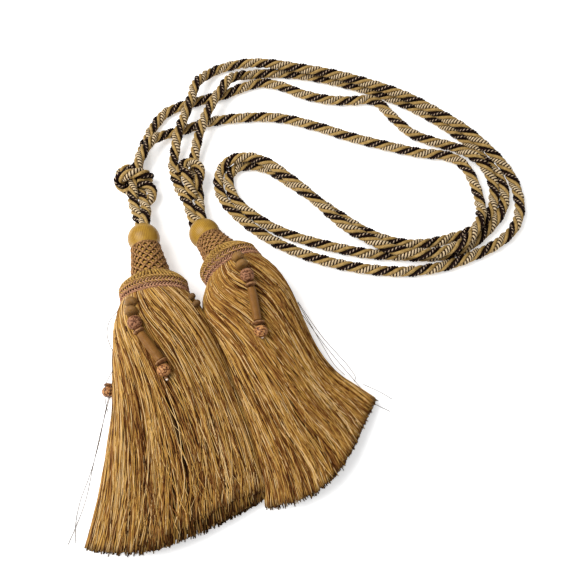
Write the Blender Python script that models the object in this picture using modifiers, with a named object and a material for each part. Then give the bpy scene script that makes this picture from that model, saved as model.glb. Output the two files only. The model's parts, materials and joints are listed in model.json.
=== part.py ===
"""Curtain tieback: two big tassels joined by a doubled twisted cord, lying as it is laid down.

Metres, +Z up, -Y toward the cut ends of the tassels. The tables below are in millimetres.
"""
import math

import bmesh
import bpy
import numpy as np
from mathutils import Matrix, Vector
from mathutils.bvhtree import BVHTree

NAME = "curtain_tieback_tassel"
MM = 0.001
CLEAR = 0.3               # space left between neighbouring pieces, mm
CORD_D = 9.5              # rope diameter
CORD_POINTS = 78          # points along each long tube
CORD_SIDES = 2            # curve bevel resolution of the cord tubes
ORIGIN_SHIFT = (4.7, -6.9)  # moves the whole layout so the tassels' box is centred, mm

# name: (colour, roughness, metallic)
FINISHES = {
    "gold_satin": ((0.60, 0.38, 0.09, 1.0), 0.42, 0.0),
    "net_thread": ((0.45, 0.27, 0.11, 1.0), 0.75, 0.0),
    "braid_thread": ((0.36, 0.19, 0.12, 1.0), 0.8, 0.0),
    "skirt_yarn": ((0.38, 0.22, 0.07, 1.0), 0.7, 0.0),
    "cord_yarn": ((0.42, 0.29, 0.12, 1.0), 0.7, 0.0),
    "wound_thread": ((0.40, 0.20, 0.06, 1.0), 0.55, 0.0),
    "pearl": ((0.85, 0.80, 0.70, 1.0), 0.2, 0.0),
}

# Rope routes: (x, y, height of the centre line). Both run from the left knot to the right one.
OUTER_ROUTE = [
    (-93.8, 170, 15), (-91.5, 178, 15), (-86, 191, 13), (-77, 201, 8), (-63, 208, 5), (-40, 218, 5),
    (-5, 225, 5), (30, 225, 5), (65, 215, 5), (100, 201, 5), (135, 190, 5), (165, 182, 5),
    (186, 179, 5), (198, 174, 5), (205, 163, 5), (209, 147, 5), (210, 130, 5), (207, 115, 7),
    (200, 101, 12), (190, 88, 14), (176, 79, 14), (150, 76, 14), (127, 80, 14.5), (104, 91, 15),
    (80, 111, 15), (53, 137, 15), (27, 162, 15), (14, 171, 15), (5, 176, 11), (-4, 177, 7),
    (-15, 172, 5), (-23, 163, 5), (-25, 151, 5), (-22, 138, 5), (-14, 124, 5), (3, 104, 5),
    (30, 83, 5), (65, 68, 5), (105, 58, 5), (144, 55, 5), (172, 60, 5), (200, 70, 5),
    (223, 82, 5), (238, 98, 5), (246, 117, 5), (247, 135, 5), (244, 152, 6), (237, 169, 9),
    (226, 184, 13), (211, 200, 15), (182, 223, 15), (150, 245, 15), (118, 260, 15), (85, 272, 15),
    (52, 280, 15), (22, 286, 15), (3, 291, 11), (-15, 293, 6), (-31, 288, 5), (-42, 276, 9),
    (-49, 261, 15), (-53, 240, 15), (-58, 217, 15), (-62, 198, 15), (-64, 184, 11), (-65, 174, 8),
]
INNER_ROUTE = [
    (-97.7, 172, 5), (-97, 181, 5), (-93, 198, 5), (-87, 216, 5), (-78, 231, 5), (-63, 240, 5),
    (-45, 247, 5), (-22, 255, 5), (-5, 264, 5), (12, 270, 5), (30, 267, 5), (55, 255, 5),
    (80, 248, 5), (104, 247, 5), (120, 248, 5), (129, 243, 5), (135, 234, 5), (145, 220, 5),
    (157, 206, 5), (176, 196, 5), (196, 190, 5), (207, 181, 5), (213, 171, 5), (218, 160, 5),
    (221, 147, 5), (223, 130, 5), (220, 116, 5), (213, 102, 5), (202, 89, 5), (188, 78, 5),
    (170, 71, 5), (148, 70, 5), (128, 74, 5), (108, 85, 5), (84, 107, 5), (55, 136, 5),
    (28, 160, 5), (13, 167, 5), (0, 166, 5), (-9, 161, 5), (-13, 152, 5), (-11, 141, 5),
    (-2, 129, 5), (16, 110, 5), (38, 94, 5), (70, 82, 5), (98, 75, 6), (115, 71, 10),
    (130, 66, 13.5), (150, 65, 14), (172, 66, 14), (189, 71, 14), (205, 79, 14), (217, 91, 11),
    (227, 105, 6), (234, 120, 5), (236, 135, 5), (234, 150, 5), (229, 164, 5), (222, 177, 5),
    (213, 190, 5), (200, 205, 5), (182, 222, 5), (150, 245, 5), (118, 261, 5), (85, 273, 5),
    (52, 281, 5), (20, 283, 5), (3, 281, 5), (-9, 275, 10), (-18, 265, 15), (-25, 251, 15),
    (-32, 236, 15), (-37, 221, 15), (-41, 206, 15), (-44, 192, 12), (-46, 178, 9),
]

# Knots: every run of rope inside one, from the ends of the long tubes down to the tassel head.
LEFT_KNOT = {
    "outer_leg": [(-94, 169.2, 15), (-96, 162, 14.8), (-97.4, 151, 13.5), (-98, 137, 12), (-96, 121, 14), (-91.5, 107, 17), (-86.8, 92.4, 21)],
    "inner_leg": [(-97.8, 171.2, 5), (-98, 160, 5), (-97, 150, 5), (-93, 138, 6), (-87, 122, 11), (-83, 108, 16), (-80.4, 93.6, 21)],
    "upper_lobe": [(-97, 157, 9), (-102, 161, 8), (-109, 161, 7), (-113, 156, 6), (-112, 149, 5.5), (-104, 145, 6)],
    "wrap": [(-101, 139, 6), (-109, 140, 9), (-111, 143, 15), (-104, 145, 20), (-94, 147, 20), (-86, 149, 15), (-86, 150, 8), (-92, 148, 6)],
    "lower_lobe": [(-94, 141, 14), (-87, 140, 13), (-81, 134, 11), (-82, 127, 9), (-88, 122, 8)],
}
RIGHT_KNOT = {
    "outer_leg": [(-65.1, 173.1, 7.7), (-65.6, 167, 6), (-64, 158, 5.2), (-61, 149, 6), (-57, 138, 8), (-50, 127, 13), (-43, 116, 15.5), (-36.2, 103.2, 14.5)],
    "inner_leg": [(-46.1, 177.1, 8.8), (-46.7, 171, 7.4), (-46, 161, 5.6), (-43, 148, 5.2), (-39, 133, 6), (-39.5, 120, 6.5), (-41.5, 111, 8), (-41.4, 101.2, 11)],
    "ring": [(-57, 150, 15), (-56, 158, 15), (-50, 163, 15), (-43, 161, 15), (-39, 153, 15), (-40, 143, 14), (-45, 134, 12)],
    "inner_turn": [(-54, 154, 15), (-50, 149, 20), (-45, 140, 19), (-42, 131, 14)],
}

# Tassel heads: ball centre, heading from -Y toward +X, rise toward the skirt, and the mould's sizes.
HEADS = {
    "left": dict(ball=(-81, 79, 22.0), heading=14.9, rise=1.5, neck_end=36.0, rim_at=62.5),
    "right": dict(ball=(-32, 89, 14.0), heading=29.7, rise=12.5, neck_end=31.0, rim_at=57.0),
}
BALL_R = 13.3
NECK_R = (11.9, 16.4)
CAP_R = 28.6
RIM_W = 29.6              # half width of the braided rim
RIM_FLAT = 0.76           # the soft rim lies flattened to this share of its width
BRAID_W = 9.4

# Where the two skirts meet, from the heads to the cut ends: (x, y).
SEAM = [(-31, 24), (-28, 10), (-22, 0), (-15.5, -12), (-9, -26), (-3, -41), (4, -60), (12.5, -84),
        (18, -101), (22, -114), (25, -126), (28, -140)]

# Skirt stations: (outer edge x, outer edge y, inner edge y on the seam, crown height, bow of the section)
LEFT_SKIRT = [
    (-97, 6, 16, 44.5, 0), (-96.5, -14, -6, 41, 1), (-94.5, -38, -32, 36, 2), (-92, -66, -58, 31, 4),
    (-92.5, -94, -84, 27, 6), (-94, -120, -106, 23, 8), (-97, -143, -122, 19.5, 9), (-101, -162, -134, 16, 11),
]
RIGHT_SKIRT = [
    (28, 54, 13, 47.5, 0), (39, 38, -4, 44.5, 1), (47.5, 20, -24, 40, 3), (55.5, -1, -46, 35, 6),
    (65, -20, -69, 30, 9), (77, -36, -91, 25, 12), (91, -46, -111, 20.5, 15), (108, -57, -132, 16, 18),
]
SKIRT_RINGS = 15
SKIRT_SIDES = 72
EDGE_HEIGHT = 0.34        # height of a skirt's side edge as a share of its crown
HANKS = 13                # bundles of yarn seen as ridges over a skirt
HANK_DEPTH = 0.9
CUT_RAGGED = 2.2          # how unevenly the yarn ends are cut

# Drops hung on the skirts: waypoints (x, y) under the piece's middle line, from the rim outward.
DROPS = {
    "left_drop": [(-80.5, 12), (-79.5, 1), (-75, -11), (-69.5, -20), (-54, -38.5), (-48, -54)],
    "right_drop": [(-2.5, 48.5), (1, 42), (5, 33), (10, 24.5), (12.5, 17), (17.3, -7.5), (22.5, -25)],
}
# piece, centre along the drop, length, radius, shape
DROP_PIECES = [
    ("top_bead", 6.0, 7.0, 4.9, "bead"),
    ("waist_bead", 13.6, 6.2, 5.2, "bead"),
    ("knot_bead", 23.6, 10.6, 5.3, "bead"),
    ("collar", 31.0, 2.4, 4.3, "ring"),
    ("bar", 46.2, 26.2, 3.5, "bar"),
    ("flange", 61.4, 2.4, 5.0, "ring"),
    ("end_bead", 68.1, 9.2, 5.1, "bead"),
    ("seed_pearl", 75.6, 4.2, 2.2, "bead"),
]
# Two drops that are all but hidden: piece, (x, y), height or None to seat it on top, direction (degrees from -Y
# toward +X), length, radius, shape
SIDE_PIECES = [
    ("left_side_end_bead", (-101.0, -52.0), 6.0, -4, 8.4, 5.0, "bead"),
    ("left_side_flange", (-101.0, -46.8), 6.0, -4, 2.2, 4.4, "ring"),
    ("left_inner_bead", (-34.2, 15.0), None, 35, 5.4, 3.6, "bead"),
    ("left_inner_bead_low", (-30.6, 9.8), None, 35, 5.6, 3.9, "bead"),
]


def smooth_route(points, count, floor=0.0):
    """Return count evenly spaced points on a smooth curve through the given ones, none below floor."""
    pts = [Vector(p) for p in points]
    ends = [2 * pts[0] - pts[1]] + pts + [2 * pts[-1] - pts[-2]]
    dense = []
    for i in range(1, len(ends) - 2):
        p0, p1, p2, p3 = ends[i - 1:i + 3]
        d0, d1, d2 = (p1 - p0).length, (p2 - p1).length, (p3 - p2).length
        m1 = ((p2 - p1) / d1 * d0 + (p1 - p0) / d0 * d1) / (d0 + d1) * d1
        m2 = ((p3 - p2) / d2 * d1 + (p2 - p1) / d1 * d2) / (d1 + d2) * d1
        for k in range(16):
            t = k / 16
            a, b = 2 * t ** 3 - 3 * t * t + 1, t ** 3 - 2 * t * t + t
            dense.append(a * p1 + b * m1 + (1 - a) * p2 + (t ** 3 - t * t) * m2)
    dense.append(pts[-1])
    arr = np.array(dense)
    run = np.concatenate([[0.0], np.cumsum(np.linalg.norm(np.diff(arr, axis=0), axis=1))])
    at = np.linspace(0.0, run[-1], count)
    route = [Vector([float(np.interp(s, run, arr[:, k])) for k in range(3)]) for s in at]
    return [Vector((p.x, p.y, max(p.z, floor))) for p in route]


def add_material(obj, finish):
    """Give obj its own Principled material made from the named finish."""
    colour, roughness, metallic = FINISHES[finish]
    mat = bpy.data.materials.new(obj.name + "_" + finish)
    mat.use_nodes = True
    shader = mat.node_tree.nodes["Principled BSDF"]
    shader.inputs["Base Color"].default_value = colour
    shader.inputs["Roughness"].default_value = roughness
    shader.inputs["Metallic"].default_value = metallic
    obj.data.materials.clear()
    obj.data.materials.append(mat)
    obj.data.shade_smooth()
    obj.data.set_sharp_from_angle(angle=math.radians(40))


def mesh_object(name, verts, faces, finish, collection):
    """Make a mesh object from points in millimetres."""
    dx, dy = ORIGIN_SHIFT
    mesh = bpy.data.meshes.new(name)
    mesh.from_pydata([((x + dx) * MM, (y + dy) * MM, z * MM) for x, y, z in verts], [], faces)
    bm = bmesh.new()
    bm.from_mesh(mesh)
    bmesh.ops.recalc_face_normals(bm, faces=bm.faces)
    bm.to_mesh(mesh)
    bm.free()
    obj = bpy.data.objects.new(name, mesh)
    collection.objects.link(obj)
    add_material(obj, finish)
    return obj


def tube_object(name, points, finish, collection, diameter=CORD_D):
    """Make a plain capped tube from a poly curve with a round bevel."""
    dx, dy = ORIGIN_SHIFT
    curve = bpy.data.curves.new(name, "CURVE")
    curve.dimensions = "3D"
    curve.bevel_depth = diameter / 2 * MM
    curve.bevel_resolution = CORD_SIDES
    curve.use_fill_caps = True
    spline = curve.splines.new("POLY")
    spline.points.add(len(points) - 1)
    for slot, p in zip(spline.points, points):
        slot.co = ((p[0] + dx) * MM, (p[1] + dy) * MM, p[2] * MM, 1.0)
    source = bpy.data.objects.new(name + "_curve", curve)
    collection.objects.link(source)
    bpy.context.view_layer.update()
    deps = bpy.context.evaluated_depsgraph_get()
    mesh = bpy.data.meshes.new_from_object(source.evaluated_get(deps))
    bpy.data.objects.remove(source)
    bm = bmesh.new()
    bm.from_mesh(mesh)
    bmesh.ops.remove_doubles(bm, verts=bm.verts, dist=0.00002)
    bmesh.ops.recalc_face_normals(bm, faces=bm.faces)
    bm.to_mesh(mesh)
    bm.free()
    obj = bpy.data.objects.new(name, mesh)
    collection.objects.link(obj)
    add_material(obj, finish)
    return obj


def knot_object(name, runs, finish, collection):
    """Join the runs of rope that make one knot into a single solid."""
    tubes = []
    for label, route in runs.items():
        span = sum((Vector(b) - Vector(a)).length for a, b in zip(route, route[1:]))
        count = max(6, round(span / 5.5))
        route = smooth_route(route, count, CORD_D / 2 + 0.15)
        tubes.append(tube_object(name + "_" + label, route, finish, collection))
    base = tubes[0]
    for tube in tubes[1:]:
        union = base.modifiers.new("join_" + tube.name, "BOOLEAN")
        union.operation = "UNION"
        union.solver = "EXACT"
        union.object = tube
    bpy.context.view_layer.update()
    deps = bpy.context.evaluated_depsgraph_get()
    mesh = bpy.data.meshes.new_from_object(base.evaluated_get(deps))
    for tube in tubes:
        bpy.data.objects.remove(tube)
    bm = bmesh.new()
    bm.from_mesh(mesh)
    bmesh.ops.remove_doubles(bm, verts=bm.verts, dist=0.00005)
    bmesh.ops.dissolve_degenerate(bm, edges=bm.edges, dist=0.00005)
    bmesh.ops.triangulate(bm, faces=bm.faces)
    bm.to_mesh(mesh)
    bm.free()
    obj = bpy.data.objects.new(name, mesh)
    collection.objects.link(obj)
    add_material(obj, finish)
    return obj


def loft(rings, centre_start=None, centre_end=None):
    """Return points and faces of a closed body through rings of equal length."""
    sides = len(rings[0])
    verts = [p for ring in rings for p in ring]
    faces = []
    for i in range(len(rings) - 1):
        a, b = i * sides, (i + 1) * sides
        faces += [(a + k, a + (k + 1) % sides, b + (k + 1) % sides, b + k) for k in range(sides)]
    last = (len(rings) - 1) * sides
    for centre, start in ((centre_start, 0), (centre_end, last)):
        if centre is None:
            faces.append(tuple(range(start, start + sides)))
            continue
        verts.append(centre)
        hub = len(verts) - 1
        faces += [(start + k, start + (k + 1) % sides, hub) for k in range(sides)]
    return verts, faces


def axes_of(heading, rise):
    """Return the along, side and up directions of a head."""
    turn, lift = math.radians(heading), math.radians(rise)
    along = Vector((math.sin(turn) * math.cos(lift), -math.cos(turn) * math.cos(lift), math.sin(lift)))
    side = Vector((math.cos(turn), math.sin(turn), 0.0))
    return along, side, along.cross(side)


def placed(origin, axes):
    """Return the matrix that stands a turned piece at origin, its own +Z along the piece's line."""
    along, side, up = axes
    dx, dy = ORIGIN_SHIFT
    turn = Matrix((side, up, along)).transposed().to_4x4()
    return Matrix.Translation(Vector((origin.x + dx, origin.y + dy, origin.z)) * MM) @ turn


def turned_object(name, profile, origin, axes, finish, collection, steps=28):
    """Turn a profile of (station, radius) rows about the piece's line with a Screw modifier."""
    outline = [(0.0, profile[-1][0])] + [(row[1], row[0]) for row in reversed(profile)] + [(0.0, profile[0][0])]
    mesh = bpy.data.meshes.new(name)
    mesh.from_pydata([(r * MM, 0.0, z * MM) for r, z in outline], [(i, i + 1) for i in range(len(outline) - 1)], [])
    obj = bpy.data.objects.new(name, mesh)
    collection.objects.link(obj)
    obj.matrix_world = placed(origin, axes)
    screw = obj.modifiers.new("turn", "SCREW")
    screw.axis = "Z"
    screw.angle = 2 * math.pi
    screw.steps = steps
    screw.render_steps = steps
    screw.use_merge_vertices = True
    screw.merge_threshold = 0.00001
    screw.use_smooth_shade = True
    add_material(obj, finish)
    return obj


def ring_points(profile, origin, axes, sides=14):
    """Return points round a turned piece, to seat it by."""
    along, side, up = axes
    turns = [2 * math.pi * k / sides for k in range(sides)]
    return [origin + along * row[0] + side * row[1] * math.cos(a) + up * row[1] * math.sin(a)
            for row in profile for a in turns]


def flattened(profile, origin, axes, sides=30):
    """Loft a bell that starts round and ends flattened: rows are (station, radius, flattened share)."""
    along, side, up = axes
    rings = []
    for station, radius, share in profile:
        tall = radius * (1.0 + (RIM_FLAT - 1.0) * share)
        rings.append([
            origin + along * station + side * radius * math.cos(a) + up * tall * math.sin(a)
            for a in (2 * math.pi * k / sides for k in range(sides))
        ])
    return loft(rings)


def head_profiles(head):
    """Return the turned profile of every piece of one head, gaps included."""
    neck_end, rim_at = head["neck_end"], head["rim_at"]
    braid_at = rim_at - BRAID_W
    face = 8.0
    ball = [(BALL_R * math.sin(a), BALL_R * math.cos(a)) for a in np.radians((-82, -66, -48, -28, -10))]
    ball += [(2.5, BALL_R), (5.5, 12.9), (face, 12.2)]
    neck = [(face + CLEAR, NECK_R[0])]
    neck += [(face + CLEAR + (neck_end - face - CLEAR) * t, NECK_R[0] + (NECK_R[1] - NECK_R[0]) * t ** 1.15)
             for t in (0.25, 0.5, 0.75, 1.0)]
    cap_start = neck_end + CLEAR
    span = braid_at - CLEAR - cap_start
    cap = [(cap_start + span * t, 17.2 + (CAP_R - 17.2) * math.sin(math.pi / 2 * t) ** 0.8, min(1.0, 0.3 + 1.4 * t))
           for t in (0.0, 0.08, 0.2, 0.34, 0.5, 0.66, 0.83, 1.0)]
    braid = [(braid_at, CAP_R + 0.2, 1.0)]
    for row in range(3):
        start = braid_at + BRAID_W * row / 3
        swell = 0.9 + 0.2 * row
        braid.append((start + BRAID_W / 6, CAP_R + 0.3 + swell, 1.0))
        braid.append((start + BRAID_W / 3, CAP_R + 0.3, 1.0))
    return {"ball": ball, "neck": neck, "cap": cap, "braid": braid}


def seam_x(y):
    """Return the x of the line where the skirts meet at the given y."""
    ys = [-p[1] for p in SEAM]
    return float(np.interp(-y, ys, [p[0] for p in SEAM]))


def skirt_rings(label, head):
    """Return the rings of one skirt, from the rim to the cut ends."""
    table = LEFT_SKIRT if label == "left" else RIGHT_SKIRT
    axes = axes_of(head["heading"], head["rise"])
    along, side, up = axes
    origin = Vector(head["ball"]) + along * (head["rim_at"] + CLEAR)
    angles = [2 * math.pi * k / SKIRT_SIDES for k in range(SKIRT_SIDES)]
    rim_w = RIM_W - 1.4
    rim = [origin + side * rim_w * math.cos(a) + up * rim_w * RIM_FLAT * math.sin(a) for a in angles]
    rings = [rim]
    rows = smooth_rows(table, SKIRT_RINGS - 1)
    for i, (outer_x, outer_y, seam_y, crown, bow) in enumerate(rows):
        reach = i / (len(rows) - 1)
        gap = 0.35
        inner = Vector((seam_x(seam_y) + (-gap if label == "left" else gap), seam_y, 0))
        outer = Vector((outer_x, outer_y, 0))
        left, right = (outer, inner) if label == "left" else (inner, outer)
        mid = (left + right) / 2
        across = (right - left) / 2
        half = across.length
        across = across / half
        onward = Vector((across.y, -across.x, 0))
        ring = []
        for a in angles:
            c, s = math.cos(a), math.sin(a)
            wide = math.copysign(abs(c) ** 0.86, c)
            edge = EDGE_HEIGHT * crown
            hank = HANK_DEPTH * math.cos(HANKS * math.pi * wide + (0.6 if label == "left" else 2.0))
            hank += 0.5 * math.sin(7.0 * wide + 1.3)
            if s >= 0:
                z = edge + (crown - edge + hank * min(1.0, 2.5 * s)) * s ** 0.92
            else:
                z = max(0.0, edge * (1.0 + 2.3 * s))
            ahead = bow * (1.0 - wide * wide)
            if i == len(rows) - 1:
                ahead += CUT_RAGGED * math.sin(5.3 * wide + 0.7) * (1.0 - wide * wide)
                ahead += (2.5 if s < 0 else 0.0) * (1.0 - wide * wide)
            ring.append(mid + across * half * wide + onward * ahead + Vector((0, 0, z)))
        if i == 0:
            ring = [r.lerp(p, 0.55 + 0.45 * reach) if r.z > 0.0 else p for r, p in zip(rim, ring)]
        rings.append(ring)
    return rings


def smooth_rows(table, count):
    """Blend a table of stations smoothly into count rows."""
    arr = np.array(table, dtype=float)
    n = len(arr)
    out = []
    for t in np.linspace(0.0, n - 1.0, count):
        i = min(int(t), n - 2)
        u = t - i
        p0, p1, p2, p3 = arr[max(i - 1, 0)], arr[i], arr[i + 1], arr[min(i + 2, n - 1)]
        out.append(0.5 * (2 * p1 + (p2 - p0) * u + (2 * p0 - 5 * p1 + 4 * p2 - p3) * u * u
                          + (3 * p1 - p0 - 3 * p2 + p3) * u ** 3))
    return out


def drop_profile(length, radius, shape):
    """Return the turned profile of one piece of a drop, centred on its station."""
    half = length / 2
    if shape == "bar":
        return [(-half, radius - 0.5), (-half + 0.6, radius), (-half * 0.4, radius + 0.25),
                (half * 0.4, radius + 0.25), (half - 0.6, radius), (half, radius - 0.5)]
    if shape == "ring":
        return [(-half, radius - 0.8), (-half * 0.4, radius), (half * 0.4, radius), (half, radius - 0.8)]
    return [(half * math.sin(a), radius * math.cos(a) ** 0.7) for a in np.radians((-66, -36, 0, 36, 66))]


def surface_height(trees, x, y):
    """Return the height of the topmost surface under a point of the layout, in mm."""
    dx, dy = ORIGIN_SHIFT
    start = Vector(((x + dx) * MM, (y + dy) * MM, 0.2))
    hits = [tree.ray_cast(start, Vector((0, 0, -1)))[0] for tree in trees]
    return max([hit.z / MM for hit in hits if hit is not None] + [0.0])


def drop_line(way, trees):
    """Return a dense line lying on the surface along the waypoints, with its running length."""
    flat = smooth_route([(x, y, 0.0) for x, y in way], 60)
    heights = [surface_height(trees, p.x, p.y) for p in flat]
    line = np.array([(p.x, p.y, h) for p, h in zip(flat, heights)])
    for _ in range(12):
        inner = (line[:-2, 2] + 2 * line[1:-1, 2] + line[2:, 2]) / 4
        line[1:-1, 2] = np.maximum(inner, line[1:-1, 2] - 0.4)
    run = np.concatenate([[0.0], np.cumsum(np.linalg.norm(np.diff(line, axis=0), axis=1))])
    return line, run


def seated_lift(points, trees):
    """Return how far a piece has to rise to clear everything under it."""
    need = -1e9
    for p in points:
        need = max(need, surface_height(trees, p.x, p.y) - p.z)
    return need + CLEAR + 0.15


def slide_in(points, trees):
    """Return how far a piece moves along +X to lie against the skirt beside it."""
    dx, dy = ORIGIN_SHIFT
    moved = 0.0
    for _ in range(20):
        spots = [Vector(((p.x + dx + moved) * MM, (p.y + dy) * MM, p.z * MM)) for p in points]
        near = min(tree.find_nearest(spot)[3] for tree in trees for spot in spots) / MM
        moved += near - CLEAR - 0.1
    return moved


def build_drops(trees, collection):
    """Lay the two full drops over the skirts."""
    finishes = {"seed_pearl": "pearl", "knot_bead": "braid_thread"}
    for label, way in DROPS.items():
        line, run = drop_line(way, trees)
        scale = run[-1] / (DROP_PIECES[-1][1] + DROP_PIECES[-1][2] / 2)
        scale = max(scale, 1.0)
        for piece, centre, length, radius, shape in DROP_PIECES:
            ends = [Vector([float(np.interp(centre * scale + d, run, line[:, k])) for k in range(3)])
                    for d in (-length / 2, length / 2)]
            along = (ends[1] - ends[0]).normalized()
            side = along.cross(Vector((0, 0, 1))).normalized() * -1
            up = along.cross(side)
            origin = (ends[0] + ends[1]) / 2
            axes = (along, side, up)
            profile = drop_profile(length, radius, shape)
            origin.z += seated_lift(ring_points(profile, origin, axes), trees)
            finish = finishes.get(piece, "wound_thread")
            turned_object(label + "_" + piece, profile, origin, axes, finish, collection, steps=14)


def main():
    """Build every piece of the tieback."""
    for obj in list(bpy.data.objects):
        bpy.data.objects.remove(obj)
    collection = bpy.data.collections.new(NAME)
    bpy.context.scene.collection.children.link(collection)

    rest = CORD_D / 2 + 0.15
    tube_object("cord_outer", smooth_route(OUTER_ROUTE, CORD_POINTS, rest), "cord_yarn", collection)
    tube_object("cord_inner", smooth_route(INNER_ROUTE, CORD_POINTS, rest), "cord_yarn", collection)
    knot_object("left_knot", LEFT_KNOT, "cord_yarn", collection)
    knot_object("right_knot", RIGHT_KNOT, "cord_yarn", collection)

    piece_finish = {"ball": "gold_satin", "neck": "net_thread", "cap": "gold_satin", "braid": "braid_thread"}
    under = []
    for label, head in HEADS.items():
        axes = axes_of(head["heading"], head["rise"])
        centre = Vector(head["ball"])
        profiles = head_profiles(head)
        for piece in ("ball", "neck"):
            turned_object(label + "_" + piece, profiles[piece], centre, axes, piece_finish[piece], collection)
        for piece in ("cap", "braid"):
            verts, faces = flattened(profiles[piece], centre, axes)
            under.append(mesh_object(label + "_" + piece, verts, faces, piece_finish[piece], collection))
        rings = skirt_rings(label, head)
        hub = sum(rings[-1], Vector()) / len(rings[-1])
        verts, faces = loft(rings, None, hub)
        under.append(mesh_object(label + "_skirt", verts, faces, "skirt_yarn", collection))

    bpy.context.view_layer.update()
    deps = bpy.context.evaluated_depsgraph_get()
    trees = [BVHTree.FromObject(obj, deps) for obj in under]
    build_drops(trees, collection)
    for piece, (x, y), height, heading, length, radius, shape in SIDE_PIECES:
        origin, axes, profile = Vector((x, y, height or 0.0)), axes_of(heading, 0.0), drop_profile(length, radius, shape)
        if height is None:
            origin.z += seated_lift(ring_points(profile, origin, axes), trees)
        else:
            origin.x += slide_in(ring_points(profile, origin, axes, 24), trees)
        turned_object(piece, profile, origin, axes, "wound_thread", collection, steps=14)


main()
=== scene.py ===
"""Curtain tieback: two big tassels on a doubled twisted rope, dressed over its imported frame.

Tables of sizes are in millimetres and are turned into metres by place(). +Z is up and the cut ends of the
tassels point toward -Y.
"""

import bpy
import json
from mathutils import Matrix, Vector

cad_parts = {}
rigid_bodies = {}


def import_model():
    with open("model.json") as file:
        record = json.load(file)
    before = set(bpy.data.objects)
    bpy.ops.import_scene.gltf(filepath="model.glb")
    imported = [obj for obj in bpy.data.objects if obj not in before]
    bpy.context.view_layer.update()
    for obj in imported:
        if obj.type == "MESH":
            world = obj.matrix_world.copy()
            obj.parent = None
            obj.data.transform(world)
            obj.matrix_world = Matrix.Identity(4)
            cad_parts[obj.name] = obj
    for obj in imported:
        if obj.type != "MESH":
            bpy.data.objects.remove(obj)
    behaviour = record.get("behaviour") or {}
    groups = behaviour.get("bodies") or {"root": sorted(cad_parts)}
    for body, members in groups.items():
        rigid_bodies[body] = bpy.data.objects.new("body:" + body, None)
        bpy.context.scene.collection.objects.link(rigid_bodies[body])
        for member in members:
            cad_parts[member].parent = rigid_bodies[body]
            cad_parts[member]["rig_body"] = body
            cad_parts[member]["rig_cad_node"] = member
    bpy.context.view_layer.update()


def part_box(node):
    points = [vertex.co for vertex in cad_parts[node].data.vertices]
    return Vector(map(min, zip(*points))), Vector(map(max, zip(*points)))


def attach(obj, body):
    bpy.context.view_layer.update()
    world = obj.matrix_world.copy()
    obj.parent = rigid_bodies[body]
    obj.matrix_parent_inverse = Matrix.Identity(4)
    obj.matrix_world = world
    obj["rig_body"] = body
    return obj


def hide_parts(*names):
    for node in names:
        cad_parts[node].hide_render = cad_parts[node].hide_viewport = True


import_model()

import json
import logging
import math
from collections.abc import Sequence
from dataclasses import dataclass, field
from enum import Enum, IntEnum
from typing import Any

import bpy
import numpy as np
from mathutils import Matrix, Vector, noise

Point = tuple[float, float, float]
Colour = tuple[float, float, float]
LOG = logging.getLogger("tieback")
MM = 0.001
TAU = 2 * math.pi
LAYOUT_SHIFT = (4.7, -6.9)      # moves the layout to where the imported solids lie, mm
BODY = "root"
FINE_STEPS = 16                 # points laid between two points of a route before they are spaced evenly


def place(point: Sequence[float]) -> Vector:
    """Return a point of the layout, in millimetres, as a point of the row frame, in metres."""
    x, y, z = point
    return Vector(((x + LAYOUT_SHIFT[0]) * MM, (y + LAYOUT_SHIFT[1]) * MM, z * MM))


# ---------------------------------------------------------------- writing node trees


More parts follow.
